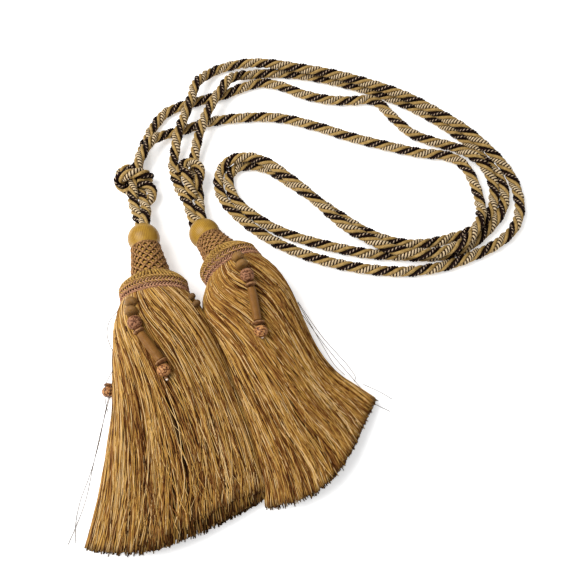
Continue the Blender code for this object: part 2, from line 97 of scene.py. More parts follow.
class Draft:
    """A node tree being written, with short ways to add nodes and join them.

    Args:
        tree: the node tree to write in.
    """

    def __init__(self, tree: bpy.types.NodeTree) -> None:
        self.tree = tree

    def put(self, socket: bpy.types.NodeSocket, value: Any) -> None:
        """Join a socket or node to an input, or set the input's own value."""
        if isinstance(value, bpy.types.Node):
            value = value.outputs[0]
        if isinstance(value, bpy.types.NodeSocket):
            self.tree.links.new(value, socket)
        else:
            socket.default_value = value

    def node(self, kind: str, sockets: dict[str | int, Any] | None = None,
             **settings: Any) -> bpy.types.Node:
        """Add a node.

        Args:
            kind: the node's type name.
            sockets: what goes into its inputs, by name or place.
            **settings: the node's own properties.

        Returns:
            The new node.
        """
        made = self.tree.nodes.new(kind)
        for key, value in settings.items():
            setattr(made, key, value)
        for key, value in (sockets or {}).items():
            self.put(made.inputs[key], value)
        return made

    def math(self, operation: str, *values: Any, clamp: bool = False) -> bpy.types.NodeSocket:
        """Return the result of a number operation on the values."""
        sockets = dict(enumerate(values))
        return self.node("ShaderNodeMath", sockets, operation=operation, use_clamp=clamp).outputs[0]

    def plus(self, one: Any, other: Any, clamp: bool = False) -> bpy.types.NodeSocket:
        """Return the sum of two numbers."""
        return self.math("ADD", one, other, clamp=clamp)

    def minus(self, one: Any, other: Any, clamp: bool = False) -> bpy.types.NodeSocket:
        """Return the first number less the second."""
        return self.math("SUBTRACT", one, other, clamp=clamp)

    def times(self, one: Any, other: Any, clamp: bool = False) -> bpy.types.NodeSocket:
        """Return the product of two numbers."""
        return self.math("MULTIPLY", one, other, clamp=clamp)

    def over(self, one: Any, other: Any) -> bpy.types.NodeSocket:
        """Return the first number divided by the second."""
        return self.math("DIVIDE", one, other)

    def centred(self, value: Any) -> bpy.types.NodeSocket:
        """Return a number from 0 to 1 as one from -0.5 to 0.5."""
        return self.minus(value, 0.5)

    def between(self, value: Any, low: Any, high: Any) -> bpy.types.NodeSocket:
        """Return a number held between two bounds."""
        return self.math("MINIMUM", self.math("MAXIMUM", value, low), high)

    def wave(self, turns: Any) -> bpy.types.NodeSocket:
        """Return a wave from 0 to 1 that peaks at every whole turn."""
        return self.plus(self.times(self.math("COSINE", self.times(turns, TAU)), 0.5), 0.5)

    def vector(self, operation: str, *values: Any) -> bpy.types.NodeSocket:
        """Return the vector that an operation on vectors gives."""
        return self.node("ShaderNodeVectorMath", dict(enumerate(values)), operation=operation).outputs[0]

    def scaled(self, vector: Any, factor: Any) -> bpy.types.NodeSocket:
        """Return a vector times a number."""
        sockets = {0: vector, "Scale": factor}
        return self.node("ShaderNodeVectorMath", sockets, operation="SCALE").outputs[0]

    def combine(self, x: Any, y: Any, z: Any) -> bpy.types.NodeSocket:
        """Return a vector made of three numbers."""
        return self.node("ShaderNodeCombineXYZ", {0: x, 1: y, 2: z}).outputs[0]

    def noise(self, vector: Any, scale: float, detail: float = 2.0) -> bpy.types.NodeSocket:
        """Return smooth noise from 0 to 1 at a vector."""
        sockets = {"Vector": vector, "Scale": scale, "Detail": detail}
        return self.node("ShaderNodeTexNoise", sockets).outputs[0]

    def fade(self, value: Any, start: float, stop: float) -> bpy.types.NodeSocket:
        """Return 0 to 1 as a value goes from start to stop, and no more beyond them."""
        sockets = {"Value": value, "From Min": start, "From Max": stop}
        return self.node("ShaderNodeMapRange", sockets, clamp=True).outputs[0]

    def mix(self, factor: Any, low: Any, high: Any) -> bpy.types.NodeSocket:
        """Return a colour between low and high."""
        made = self.node("ShaderNodeMix", data_type="RGBA")
        for index, value in ((0, factor), (6, low), (7, high)):
            if isinstance(value, tuple) and len(value) == 3:
                value = (*value, 1.0)
            self.put(made.inputs[index], value)
        return made.outputs[2]

    def ramp(self, factor: Any, stops: Sequence[tuple[float, Colour]]) -> bpy.types.NodeSocket:
        """Return a colour read from a ramp of (place, colour) stops."""
        made = self.node("ShaderNodeValToRGB", {0: factor})
        elements = made.color_ramp.elements
        while len(elements) < len(stops):
            elements.new(0.5)
        for element, (at, colour) in zip(elements, stops):
            element.position = at
            element.color = (*colour, 1.0)
        return made.outputs[0]

    def stored(self, geometry: Any, values: dict[str, Any]) -> Any:
        """Return geometry whose points hold the named numbers."""
        for name, value in values.items():
            geometry = self.node("GeometryNodeStoreNamedAttribute",
                                 {"Geometry": geometry, "Name": name, "Value": value},
                                 data_type="FLOAT", domain="POINT")
        return geometry


class Growth:
    """A Geometry Nodes tree with named inputs.

    Args:
        name: the tree's name.
        sizes: input name to (socket type, starting value).
    """

    def __init__(self, name: str, sizes: dict[str, tuple[str, Any]]) -> None:
        self.tree = bpy.data.node_groups.new(name, "GeometryNodeTree")
        self.draft = Draft(self.tree)
        sockets = self.tree.interface
        sockets.new_socket("Geometry", in_out="INPUT", socket_type="NodeSocketGeometry")
        sockets.new_socket("Geometry", in_out="OUTPUT", socket_type="NodeSocketGeometry")
        for label, (kind, value) in sizes.items():
            made = sockets.new_socket(label, in_out="INPUT", socket_type=f"NodeSocket{kind}")
            if value is not None:
                made.default_value = value
        self.given = self.draft.node("NodeGroupInput").outputs
        self.result = self.draft.node("NodeGroupOutput").inputs[0]

    def lines(self, count: Any) -> tuple[bpy.types.Node, bpy.types.NodeSocket, bpy.types.NodeSocket]:
        """Start with straight lines, to be bent into threads.

        Args:
            count: how many lines there are.

        Returns:
            The lines, the number of each, and how far along its line each point lies, from 0 to 1.
        """
        d = self.draft
        line = d.node("GeometryNodeCurvePrimitiveLine", {"Start": (0, 0, 0), "End": (0, 0, 1)})
        line = d.node("GeometryNodeResampleCurve", {"Curve": line, "Count": self.given["Points"]},
                      mode="COUNT")
        line = d.node("GeometryNodeDuplicateElements", {"Geometry": line, "Amount": count}, domain="SPLINE")
        number = d.node("GeometryNodeCurveOfPoint").outputs["Curve Index"]
        step = d.node("GeometryNodeSplineParameter").outputs["Factor"]
        return line, number, step

    def tubes(self, line: Any, **sockets: Any) -> bpy.types.Node:
        """Return closed tubes along the threads, as thick as the tree's Thread Radius."""
        ring = self.draft.node("GeometryNodeCurvePrimitiveCircle",
                               {"Resolution": self.given["Sides"], "Radius": self.given["Thread Radius"]})
        return self.draft.node("GeometryNodeCurveToMesh",
                               {"Curve": line, "Profile Curve": ring, "Fill Caps": True, **sockets})

    def end_with(self, mesh: Any) -> None:
        """End the tree with a mesh: smooth it, realize it and give it the tree's Material."""
        smooth = self.draft.node("GeometryNodeSetShadeSmooth", {"Geometry": mesh})
        real = self.draft.node("GeometryNodeRealizeInstances", {"Geometry": smooth})
        self.draft.put(self.result, self.draft.node(
            "GeometryNodeSetMaterial", {"Geometry": real, "Material": self.given["Material"]}))

    def grow(self, base: bpy.types.Object, name: str, **sizes: Any) -> bpy.types.Object:
        """Run the tree on a base object and return the result as a plain mesh object.

        Args:
            base: the curve or mesh that the tree starts from; it is removed afterwards.
            name: the new object's name.
            **sizes: values for the named inputs, with _ for a space.

        Returns:
            The new mesh object.
        """
        modifier = base.modifiers.new("grow", "NODES")
        modifier.node_group = self.tree
        idents = {item.name: item.identifier
                  for item in self.tree.interface.items_tree if item.in_out == "INPUT"}
        for key, value in sizes.items():
            modifier[idents[key.replace("_", " ")]] = value
        base.update_tag()
        bpy.context.view_layer.update()
        deps = bpy.context.evaluated_depsgraph_get()
        mesh = bpy.data.meshes.new_from_object(base.evaluated_get(deps), depsgraph=deps)
        mesh.name = name
        base.modifiers.remove(modifier)
        bpy.data.objects.remove(base)
        return add_object(name, mesh)


# ---------------------------------------------------------------- mesh helpers


def add_object(name: str, data: Any) -> bpy.types.Object:
    """Return a new object holding data, linked to the scene."""
    obj = bpy.data.objects.new(name, data)
    bpy.context.scene.collection.objects.link(obj)
    return obj


def smooth_line(points: Sequence[Sequence[float]], step: float, floor: float) -> list[Vector]:
    """Return evenly spaced points on one smooth curve.

    Args:
        points: the route's own points, in millimetres of the layout.
        step: distance between the returned points, in millimetres.
        floor: the lowest height that a point may have, in millimetres.

    Returns:
        The points, in millimetres of the layout.
    """
    pts = [Vector(p) for p in points]
    ends = [2 * pts[0] - pts[1]] + pts + [2 * pts[-1] - pts[-2]]
    dense = []
    for i in range(1, len(ends) - 2):
        p0, p1, p2, p3 = ends[i - 1:i + 3]
        d0, d1, d2 = (p1 - p0).length, (p2 - p1).length, (p3 - p2).length
        m1 = ((p2 - p1) / d1 * d0 + (p1 - p0) / d0 * d1) / (d0 + d1) * d1
        m2 = ((p3 - p2) / d2 * d1 + (p2 - p1) / d1 * d2) / (d1 + d2) * d1
        for k in range(FINE_STEPS):
            t = k / FINE_STEPS
            a, b = 2 * t ** 3 - 3 * t * t + 1, t ** 3 - 2 * t * t + t
            dense.append(a * p1 + b * m1 + (1 - a) * p2 + (t ** 3 - t * t) * m2)
    dense.append(pts[-1])
    arr = np.array(dense)
    run = np.concatenate([[0.0], np.cumsum(np.linalg.norm(np.diff(arr, axis=0), axis=1))])
    at = np.linspace(0.0, run[-1], max(4, round(run[-1] / step) + 1))
    line = [Vector([float(np.interp(s, run, arr[:, k])) for k in range(3)]) for s in at]
    return [Vector((p.x, p.y, max(p.z, floor))) for p in line]


def curve_of(points: Sequence[Vector]) -> bpy.types.Object:
    """Return a curve object of one poly spline through the points, which are in metres."""
    data = bpy.data.curves.new("line", "CURVE")
    data.dimensions = "3D"
    spline = data.splines.new("POLY")
    spline.points.add(len(points) - 1)
    for slot, p in zip(spline.points, points):
        slot.co = (*p, 1.0)
    return add_object("line", data)


def sheet_of(name: str, rings: Sequence[Sequence[Vector]], closed: bool = False) -> bpy.types.Object:
    """Loft rings of equal length into a tube, with a map of round (0 to 1) and along (0 to 1) named lay.

    Args:
        name: the object's name.
        rings: rings of points in metres, counter-clockwise seen against the direction that they advance in.
        closed: closes both ends.

    Returns:
        The new mesh object, faces outward.
    """
    sides, count = len(rings[0]), len(rings)
    verts = [tuple(p) for ring in rings for p in ring]
    faces, lay = [], []
    for i in range(count - 1):
        for k in range(sides):
            n = (k + 1) % sides
            faces.append((i * sides + k, i * sides + n, (i + 1) * sides + n, (i + 1) * sides + k))
            u0, u1, v0, v1 = k / sides, (k + 1) / sides, i / (count - 1), (i + 1) / (count - 1)
            lay += [u0, v0, u1, v0, u1, v1, u0, v1]
    if closed:
        for start, order in ((0, -1), ((count - 1) * sides, 1)):
            verts.append(tuple(sum((Vector(v) for v in verts[start:start + sides]), Vector()) / sides))
            hub = len(verts) - 1
            for k in range(sides):
                tri = (start + k, start + (k + 1) % sides, hub)
                faces.append(tri[::order])
                lay += [k / sides, 0.0 if start == 0 else 1.0] * 3
    mesh = bpy.data.meshes.new(name)
    mesh.from_pydata(verts, [], faces)
    mesh.uv_layers.new(name="lay").uv.foreach_set("vector", lay)
    mesh.shade_smooth()
    return add_object(name, mesh)


def turned(name: str, profile: Sequence[tuple[float, float]], sides: int) -> bpy.types.Object:
    """Return a closed turned piece from (station, radius) rows in millimetres, standing along its own +Z."""
    angles = [TAU * k / sides for k in range(sides)]
    rings = [[Vector((r * math.cos(a), r * math.sin(a), z)) * MM for a in angles] for z, r in profile]
    return sheet_of(name, rings, closed=True)


def joined(name: str, parts: Sequence[bpy.types.Object]) -> bpy.types.Object:
    """Join mesh objects into one and return it."""
    with bpy.context.temp_override(active_object=parts[0], selected_editable_objects=list(parts)):
        bpy.ops.object.join()
    parts[0].name = parts[0].data.name = name
    return parts[0]


def dressed(obj: bpy.types.Object, material: bpy.types.Material) -> bpy.types.Object:
    """Give a whole mesh one material."""
    obj.data.materials.clear()
    obj.data.materials.append(material)
    return obj


def hold(obj: bpy.types.Object, name: str, values: Sequence[float]) -> None:
    """Store a named number for each point of a mesh."""
    obj.data.attributes.new(name, "FLOAT", "POINT").data.foreach_set("value", values)


def moved(obj: bpy.types.Object, matrix: Matrix) -> bpy.types.Object:
    """Move the points of a mesh, leaving its object at the origin."""
    obj.data.transform(matrix)
    return obj


def settle(obj: bpy.types.Object, slot: str, *nodes: str) -> bpy.types.Object:
    """Ride a finished piece on the tieback, hide the solids that it stands for, and log it with their names.
    """
    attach(obj, BODY)
    if nodes:
        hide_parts(*nodes)
    LOG.info("%s: %d faces for %s", obj.name, len(obj.data.polygons), ", ".join(nodes) or "no solid")
    return obj


# ---------------------------------------------------------------- finishes


@dataclass(frozen=True)
class Finish:
    """A finish with one main colour; kinds of finish add their own detail in dress()."""

    name: str
    colour: Colour
    roughness: float = 0.6
    specular: float = 0.5

    def dress(self, draft: Draft, shader: bpy.types.Node) -> None:
        """Add the detail of the finish to its shader."""

    def material(self) -> bpy.types.Material:
        """Return the finish's material, made once."""
        made = bpy.data.materials.get(f"finish_{self.name}")
        if made is None:
            made = bpy.data.materials.new(f"finish_{self.name}")
            made.use_nodes = True
            shader = made.node_tree.nodes["Principled BSDF"]
            shader.inputs["Base Color"].default_value = (*self.colour, 1.0)
            shader.inputs["Roughness"].default_value = self.roughness
            shader.inputs["Specular IOR Level"].default_value = self.specular
            self.dress(Draft(made.node_tree), shader)
        return made


def attribute(draft: Draft, name: str) -> bpy.types.NodeSocket:
    """Return the number held by a named attribute."""
    return draft.node("ShaderNodeAttribute", attribute_name=name).outputs["Fac"]


def object_coords(draft: Draft) -> bpy.types.NodeSocket:
    """Return the piece's own coordinates."""
    return draft.node("ShaderNodeTexCoord").outputs["Object"]


def bump(draft: Draft, shader: bpy.types.Node, height: Any, strength: float, distance: float) -> None:
    """Raise the surface by height times distance, in metres."""
    made = draft.node("ShaderNodeBump", {"Height": height, "Strength": strength, "Distance": distance})
    draft.put(shader.inputs["Normal"], made)


@dataclass(frozen=True)
class SatinPly(Finish):
    """Smooth ply of filament rayon: fine threads that wind round it slowly and a soft change of shade."""

    shade: Colour = (0.3, 0.2, 0.05)
    threads: float = 15.0           # fine threads round the ply
    winding: float = 520.0          # turns of the pattern in a metre

    def dress(self, draft: Draft, shader: bpy.types.Node) -> None:
        """Lay fine threads over the ply."""
        where = object_coords(draft)
        cloud = draft.noise(where, 330.0, 3.0)
        wave = draft.plus(draft.times(attribute(draft, "spin"), self.threads),
                          draft.times(attribute(draft, "reach"), self.winding))
        wave = draft.plus(wave, draft.times(cloud, 0.8))
        ridge = draft.wave(wave)
        tone = draft.plus(draft.times(cloud, 0.65), draft.times(ridge, 0.35))
        draft.put(shader.inputs["Base Color"], draft.ramp(tone, [(0.30, self.shade), (0.72, self.colour)]))
        bump(draft, shader, ridge, 0.7, 0.00022)


@dataclass(frozen=True)
class RibbedGimp(Finish):
    """Ply of gimp wound crosswise: a thread colour on the ribs and a core colour between them."""

    core: Colour = (0.4, 0.3, 0.2)
    shade: Colour = (0.3, 0.2, 0.1)
    core_until: float = 0.3
    core_crown: float = -1.2        # the core shows only where the ply faces outward more than this
    rib_edge: float = 0.08          # how softly a rib ends
    crown_edge: float = 0.15        # how softly the part that faces outward ends

    def dress(self, draft: Draft, shader: bpy.types.Node) -> None:
        """Colour the ribs and the gaps between them."""
        rib, crown = attribute(draft, "rib"), attribute(draft, "crown")
        cloud = draft.noise(object_coords(draft), 520.0, 3.0)
        thread = draft.ramp(cloud, [(0.38, self.shade), (0.62, self.colour)])
        wander = draft.plus(rib, draft.times(draft.centred(cloud), 0.30))
        gap = draft.fade(wander, self.core_until + self.rib_edge, self.core_until - self.rib_edge)
        faces = draft.fade(crown, self.core_crown - self.crown_edge, self.core_crown + self.crown_edge)
        draft.put(shader.inputs["Base Color"], draft.mix(draft.times(gap, faces), thread, self.core))


@dataclass(frozen=True)
class LooseYarn(Finish):
    """Fine two-coloured yarn: every lock and thread has its own shade, and it changes along the thread. Yarn
    that lies deep among the others takes painted shade.
    """

    stops: tuple[tuple[float, Colour], ...] = ()
    tip: Colour = (0.05, 0.03, 0.02)
    tone_share: float = 0.90
    lock_share: float = 0.20
    fleck_share: float = 1.10
    drift_share: float = 0.05
    # how strongly painted shade darkens yarn that lies deep
    shade_share: float = 0.85
    end_share: float = 0.62
    end_from: float = 0.036         # how far from its end a yarn begins to darken, as a share of its length

    def dress(self, draft: Draft, shader: bpy.types.Node) -> None:
        """Shade each yarn by its own tone, its lock and its place along the skirt, paint shade where it lies
        deep, and darken it toward its cut end.
        """
        tone, run, lock = (attribute(draft, name) for name in ("tone", "run", "lock"))
        spot = draft.combine(draft.times(tone, 900.0), draft.times(run, 17.0), draft.times(lock, 300.0))
        fleck = draft.noise(spot, 1.0, 2.0)
        drift = draft.noise(object_coords(draft), 30.0, 3.0)
        value = 0.5
        for part, share in ((tone, self.tone_share), (lock, self.lock_share), (fleck, self.fleck_share),
                            (drift, self.drift_share)):
            value = draft.plus(value, draft.times(draft.centred(part), share))
        colour = draft.ramp(value, self.stops)
        # Painted shade: yarn that lies deep is mixed toward the tip colour. The cut ends also darken toward
        # it.
        darkening = draft.times(attribute(draft, "deep"), self.shade_share, clamp=True)
        end = draft.fade(attribute(draft, "left"), self.end_from, 0.0)
        darkening = draft.math("MAXIMUM", darkening, draft.times(end, self.end_share))
        draft.put(shader.inputs["Base Color"], draft.mix(darkening, colour, self.tip))


@dataclass(frozen=True)
class ShadowCore(Finish):
    """The unseen middle of a skirt, painted near-black as the shade between the outer yarns."""

    streak: Colour = (0.1, 0.05, 0.02)

    def dress(self, draft: Draft, shader: bpy.types.Node) -> None:
        """Streak the core along the yarns."""
        lay = draft.node("ShaderNodeUVMap", uv_map="lay")
        wide = draft.node("ShaderNodeMapping", {"Vector": lay, "Scale": (420.0, 5.0, 1.0)})
        streak = draft.noise(wide, 1.0, 2.0)
        draft.put(shader.inputs["Base Color"], draft.ramp(streak, [(0.4, self.colour), (0.65, self.streak)]))
        bump(draft, shader, streak, 0.8, 0.0012)


@dataclass(frozen=True)
class WoundThread(Finish):
    """Thread wound closely on a mould, in turns that follow the piece's own map."""

    shade: Colour = (0.2, 0.1, 0.03)
    turns_round: float = 60.0
    turns_along: float = 0.0
    depth: float = 0.00018
    shares: tuple[float, float, float] = (0.0, 0.55, 0.60)      # steady part, turns and cloud of the tone

    def dress(self, draft: Draft, shader: bpy.types.Node) -> None:
        """Draw the turns of thread."""
        lay = draft.node("ShaderNodeUVMap", uv_map="lay")
        split = draft.node("ShaderNodeSeparateXYZ", {0: lay})
        wave = draft.plus(draft.times(split.outputs[0], self.turns_round),
                          draft.times(split.outputs[1], self.turns_along))
        where = object_coords(draft)
        uneven = draft.noise(where, 700.0, 2.0)
        wave = draft.plus(wave, draft.times(uneven, 0.5))
        ridge = draft.wave(wave)
        cloud = draft.noise(where, 190.0, 3.0)
        steady, turns, clouding = self.shares
        tone = draft.plus(draft.times(ridge, turns), draft.times(cloud, clouding))
        tone = draft.plus(tone, steady)
        draft.put(shader.inputs["Base Color"], draft.ramp(tone, [(0.35, self.shade), (0.75, self.colour)]))
        bump(draft, shader, ridge, 0.9, self.depth)


@dataclass(frozen=True)
class LumpyThread(Finish):
    """Thread knotted or padded over a mould, with painted shade in its hollows and gaps, read from the
    attribute lump.
    """

    # the painted shade in the hollows and gaps
    gap: Colour = (0.05, 0.02, 0.01)
    light: Colour = (0.6, 0.4, 0.3)
    places: tuple[float, float, float] = (0.30, 0.48, 0.92)

    def dress(self, draft: Draft, shader: bpy.types.Node) -> None:
        """Colour the surface by its lumps, with painted shade where they are low."""
        where = object_coords(draft)
        grain = draft.noise(where, 1300.0, 3.0)
        tone = draft.plus(draft.times(attribute(draft, "lump"), 0.7), draft.times(grain, 0.45))
        low, middle, high = self.places
        draft.put(shader.inputs["Base Color"],
                  draft.ramp(tone, [(low, self.gap), (middle, self.colour), (high, self.light)]))
        bump(draft, shader, grain, 0.6, 0.0002)


@dataclass(frozen=True)
class CrossedThread(Finish):
    """Plain twisted sewing, netting or covering thread."""

    shade: Colour = (0.2, 0.1, 0.05)
    grain: float = 620.0

    def dress(self, draft: Draft, shader: bpy.types.Node) -> None:
        """Vary the shade over a few threads' width."""
        cloud = draft.noise(object_coords(draft), self.grain, 3.0)
        draft.put(shader.inputs["Base Color"], draft.ramp(cloud, [(0.36, self.shade), (0.62, self.colour)]))


@dataclass(frozen=True)
class MatPaper(Finish):
    """Pale seamless background paper, lit a little from below as on a light table."""

    glow: float = 0.42

    def dress(self, draft: Draft, shader: bpy.types.Node) -> None:
        """Give the paper a faint tooth and its glow."""
        shader.inputs["Emission Color"].default_value = (1.0, 1.0, 1.0, 1.0)
        shader.inputs["Emission Strength"].default_value = self.glow
        tooth = draft.noise(object_coords(draft), 900.0, 2.0)
        bump(draft, shader, tooth, 0.05, 0.0001)


YARN_STOPS: tuple[tuple[float, Colour], ...] = (
    (0.02, (0.040, 0.010, 0.001)), (0.20, (0.128, 0.039, 0.006)), (0.34, (0.255, 0.106, 0.026)),
    (0.46, (0.365, 0.170, 0.040)), (0.56, (0.47, 0.243, 0.047)), (0.76, (0.62, 0.360, 0.098)),
    (0.98, (0.74, 0.50, 0.235)))


def shadowed(stops: Sequence[tuple[float, Colour]], share: float) -> tuple[tuple[float, Colour], ...]:
    """Return colour stops darkened to a share of themselves, as painted shade."""
    return tuple((at, tuple(value * share for value in colour)) for at, colour in stops)


class Finishes(Enum):
    """Every finish on the tieback."""

    SATIN = SatinPly("gold_satin_ply", (0.60, 0.392, 0.135), 0.40, 0.22, shade=(0.25, 0.145, 0.036))
    BLACK = RibbedGimp("black_gimp", (0.014, 0.0048, 0.0036), 0.6, 0.03, core=(0.88, 0.66, 0.45),
                       shade=(0.004, 0.002, 0.002), core_until=0.46, core_crown=0.92)
    BEIGE = RibbedGimp("beige_gimp", (0.69, 0.54, 0.345), 0.6, 0.05, core=(0.028, 0.012, 0.004),
                       shade=(0.54, 0.40, 0.22), core_until=0.74)
    BALL = WoundThread("ball_satin", (0.43, 0.242, 0.030), 0.35, 0.25, shade=(0.23, 0.115, 0.013),
                       turns_round=56.0, depth=0.00006, shares=(0.18, 0.28, 0.50))
    CAP = CrossedThread("cap_satin", (0.48, 0.285, 0.066), 0.42, 0.20, shade=(0.18, 0.085, 0.016))
    # Painted shade: the dark body of the cap, seen between its ribs.
    CAP_GAP = Finish("cap_gap", (0.060, 0.026, 0.007), 0.8, 0.1)
    # The neck's gap colour is painted shade between the pads and under the net.
    NECK = LumpyThread("neck_pads", (0.15, 0.072, 0.014), 0.55, 0.05, gap=(0.014, 0.004, 0.001),
                       light=(0.48, 0.280, 0.070), places=(0.30, 0.54, 0.95))
    # Painted shade: the near-black band seen between the braid's cords.
    BAND = Finish("braid_band", (0.018, 0.007, 0.004), 0.8, 0.1)
    NET = CrossedThread("net_thread", (0.47, 0.250, 0.100), 0.6, 0.05, shade=(0.08, 0.034, 0.012),
                        grain=900.0)
    BRAID_TAN = CrossedThread("braid_tan", (0.52, 0.31, 0.10), 0.6, 0.05, shade=(0.27, 0.14, 0.04))
    BRAID_ROSE = CrossedThread("braid_rose", (0.55, 0.31, 0.17), 0.6, 0.05, shade=(0.33, 0.16, 0.085))
    BRAID_MAUVE = CrossedThread("braid_mauve", (0.46, 0.235, 0.140), 0.6, 0.05, shade=(0.27, 0.120, 0.070))
    YARN = LooseYarn("skirt_yarn", (0.4, 0.25, 0.1), 0.45, 0.08, stops=YARN_STOPS, tip=(0.024, 0.008, 0.002))
    # Yarn of the under layers: the outer yarn's colours darkened as painted shade, since it lies beneath.
    UNDER = LooseYarn("skirt_under_yarn", (0.2, 0.1, 0.05), 0.6, 0.04, stops=shadowed(YARN_STOPS, 0.62),
                      tip=(0.018, 0.006, 0.002))
    # Painted shade: a near-black core that shows through the gaps between the yarns.
    CORE = ShadowCore("skirt_core", (0.012, 0.005, 0.002), 0.9, 0.04, streak=(0.07, 0.03, 0.01))
    STRAY = CrossedThread("stray_yarn", (0.13, 0.09, 0.055), 0.5, 0.1, shade=(0.05, 0.036, 0.024))
    BEAD = WoundThread("wound_bead", (0.33, 0.170, 0.044), 0.38, 0.25, shade=(0.15, 0.066, 0.014),
                       turns_round=40.0)
    BAR = WoundThread("wound_bar", (0.32, 0.145, 0.030), 0.32, 0.30, shade=(0.10, 0.036, 0.007),
                      turns_round=0.0, turns_along=44.0)
    RING = CrossedThread("ring_thread", (0.34, 0.17, 0.065), 0.5, 0.3, shade=(0.15, 0.060, 0.024))
    # The knot finishes' gap colour is painted shade in the grooves between knots.
    PINK = LumpyThread("pink_knot", (0.145, 0.055, 0.024), 0.5, 0.12, gap=(0.028, 0.008, 0.003),
                       light=(0.36, 0.170, 0.085), places=(0.32, 0.62, 1.02))
    RUST = LumpyThread("rust_knot", (0.165, 0.052, 0.015), 0.42, 0.22, gap=(0.016, 0.004, 0.002),
                       light=(0.56, 0.27, 0.095), places=(0.36, 0.68, 1.04))
    # Painted shade: the wound bead darkened, for the inner beads of a hidden drop.
    SHADED = WoundThread("shaded_bead", (0.20, 0.100, 0.027), 0.4, 0.3, shade=(0.09, 0.040, 0.011),
                         turns_round=36.0)
    PEARL = Finish("seed_pearl", (0.88, 0.70, 0.56), 0.2, 0.6)
    PAPER = MatPaper("pale_paper", (0.93, 0.93, 0.93), 0.9, specular=0.1)

    @property
    def material(self) -> bpy.types.Material:
        """Return the finish's material."""
        return self.value.material()


# ---------------------------------------------------------------- trees that grow the repeated shapes


CROWDING = 0.3                  # how far a ply's points crowd toward its outward side
WIDENING = 1.12                 # how much wider than high a ply lies, pressed by its neighbours
MAP_MARGIN = 0.0005             # how far inside the edges of the map a thread stays


def strand_tree() -> Growth:
    """Write the tree that winds one ply along a line.

    Returns:
        The tree, which takes the line and gives the ply as a closed tube.
    """
    made = Growth("wound_ply", {
        "Lay Length": ("Float", 0.030), "Helix Radius": ("Float", 0.0028), "Ply Radius": ("Float", 0.002),
        "Phase": ("Float", 0.0), "Step": ("Float", 0.001), "Rib Rings": ("Int", 1),
        "Rib Depth": ("Float", 0.0), "Slant": ("Float", 0.0), "Sides": ("Int", 8),
        "Material": ("Material", None)})
    d, given = made.draft, made.given

    # A straight tube with one ring for each step along the line.
    line = d.node("GeometryNodeSetCurveNormal", {"Curve": given["Geometry"]}, mode="MINIMUM_TWIST")
    length = d.node("GeometryNodeCurveLength", {"Curve": line}).outputs[0]
    rows = d.math("ROUND", d.over(length, given["Step"]))
    tube = d.node("GeometryNodeMeshCylinder",
                  {"Vertices": given["Sides"], "Side Segments": rows, "Radius": 1.0, "Depth": 1.0},
                  fill_type="TRIANGLE_FAN").outputs["Mesh"]

    # Where each point lies along the tube and round the ply.
    spot = d.node("ShaderNodeSeparateXYZ", {0: d.node("GeometryNodeInputPosition")}).outputs
    share = d.plus(spot[2], 0.5)
    angle = d.math("ARCTAN2", spot[1], spot[0])
    angle = d.minus(angle, d.times(d.math("SINE", angle), CROWDING))
    out = d.math("SQRT", d.plus(d.math("POWER", spot[0], 2.0), d.math("POWER", spot[1], 2.0)))
    out = d.math("MINIMUM", out, 1.0)

    # Ribs: one ring in every few is drawn in.
    ring = d.math("ROUND", d.times(share, rows))
    rib = d.math("MINIMUM", d.math("MODULO", ring, given["Rib Rings"]), 1.0)
    swell = d.minus(1.0, d.times(given["Rib Depth"], d.minus(1.0, rib)))
    radius = d.times(d.times(given["Ply Radius"], swell), out)

    # The ply wound round the line.
    outward = d.times(radius, d.math("COSINE", angle))
    across = d.times(d.times(radius, d.math("SINE", angle)), WIDENING)
    along = d.plus(d.times(share, length), d.times(across, given["Slant"]))
    along = d.math("MAXIMUM", d.math("MINIMUM", along, length), 0.0)
    turn = d.minus(given["Phase"], d.times(d.over(along, given["Lay Length"]), TAU))
    at = d.node("GeometryNodeSampleCurve", {"Curves": line, "Length": along}, mode="LENGTH").outputs
    normal = at["Normal"]
    sideways = d.vector("CROSS_PRODUCT", at["Tangent"], normal)
    cosine, sine = d.math("COSINE", turn), d.math("SINE", turn)
    radial = d.vector("ADD", d.scaled(normal, cosine), d.scaled(sideways, sine))
    around = d.vector("SUBTRACT", d.scaled(sideways, cosine), d.scaled(normal, sine))
    point = d.vector("ADD", at["Position"], d.scaled(radial, d.plus(given["Helix Radius"], outward)))
    point = d.vector("ADD", point, d.scaled(around, across))
    tube = d.stored(tube, {"rib": rib, "crown": d.times(d.math("COSINE", angle), out),
                           "spin": d.over(angle, TAU), "reach": along})
    made.end_with(d.node("GeometryNodeSetPosition", {"Geometry": tube, "Position": point}))
    return made


class Draw(IntEnum):
    """What a chance number of a thread or of its lock decides; each use has its own seed."""

    PLACE = 1
    LENGTH = 2
    TILT = 3
    FRIZZ = 4
    SINK = 5
    LIFT = 6
    TONE = 7
    TOP = 8
    LOCK_LEAN = 21
    LOCK_SWAY = 22
    LOCK_SINK = 23
    LOCK_TONE = 24
    LOCK_BEAT = 25


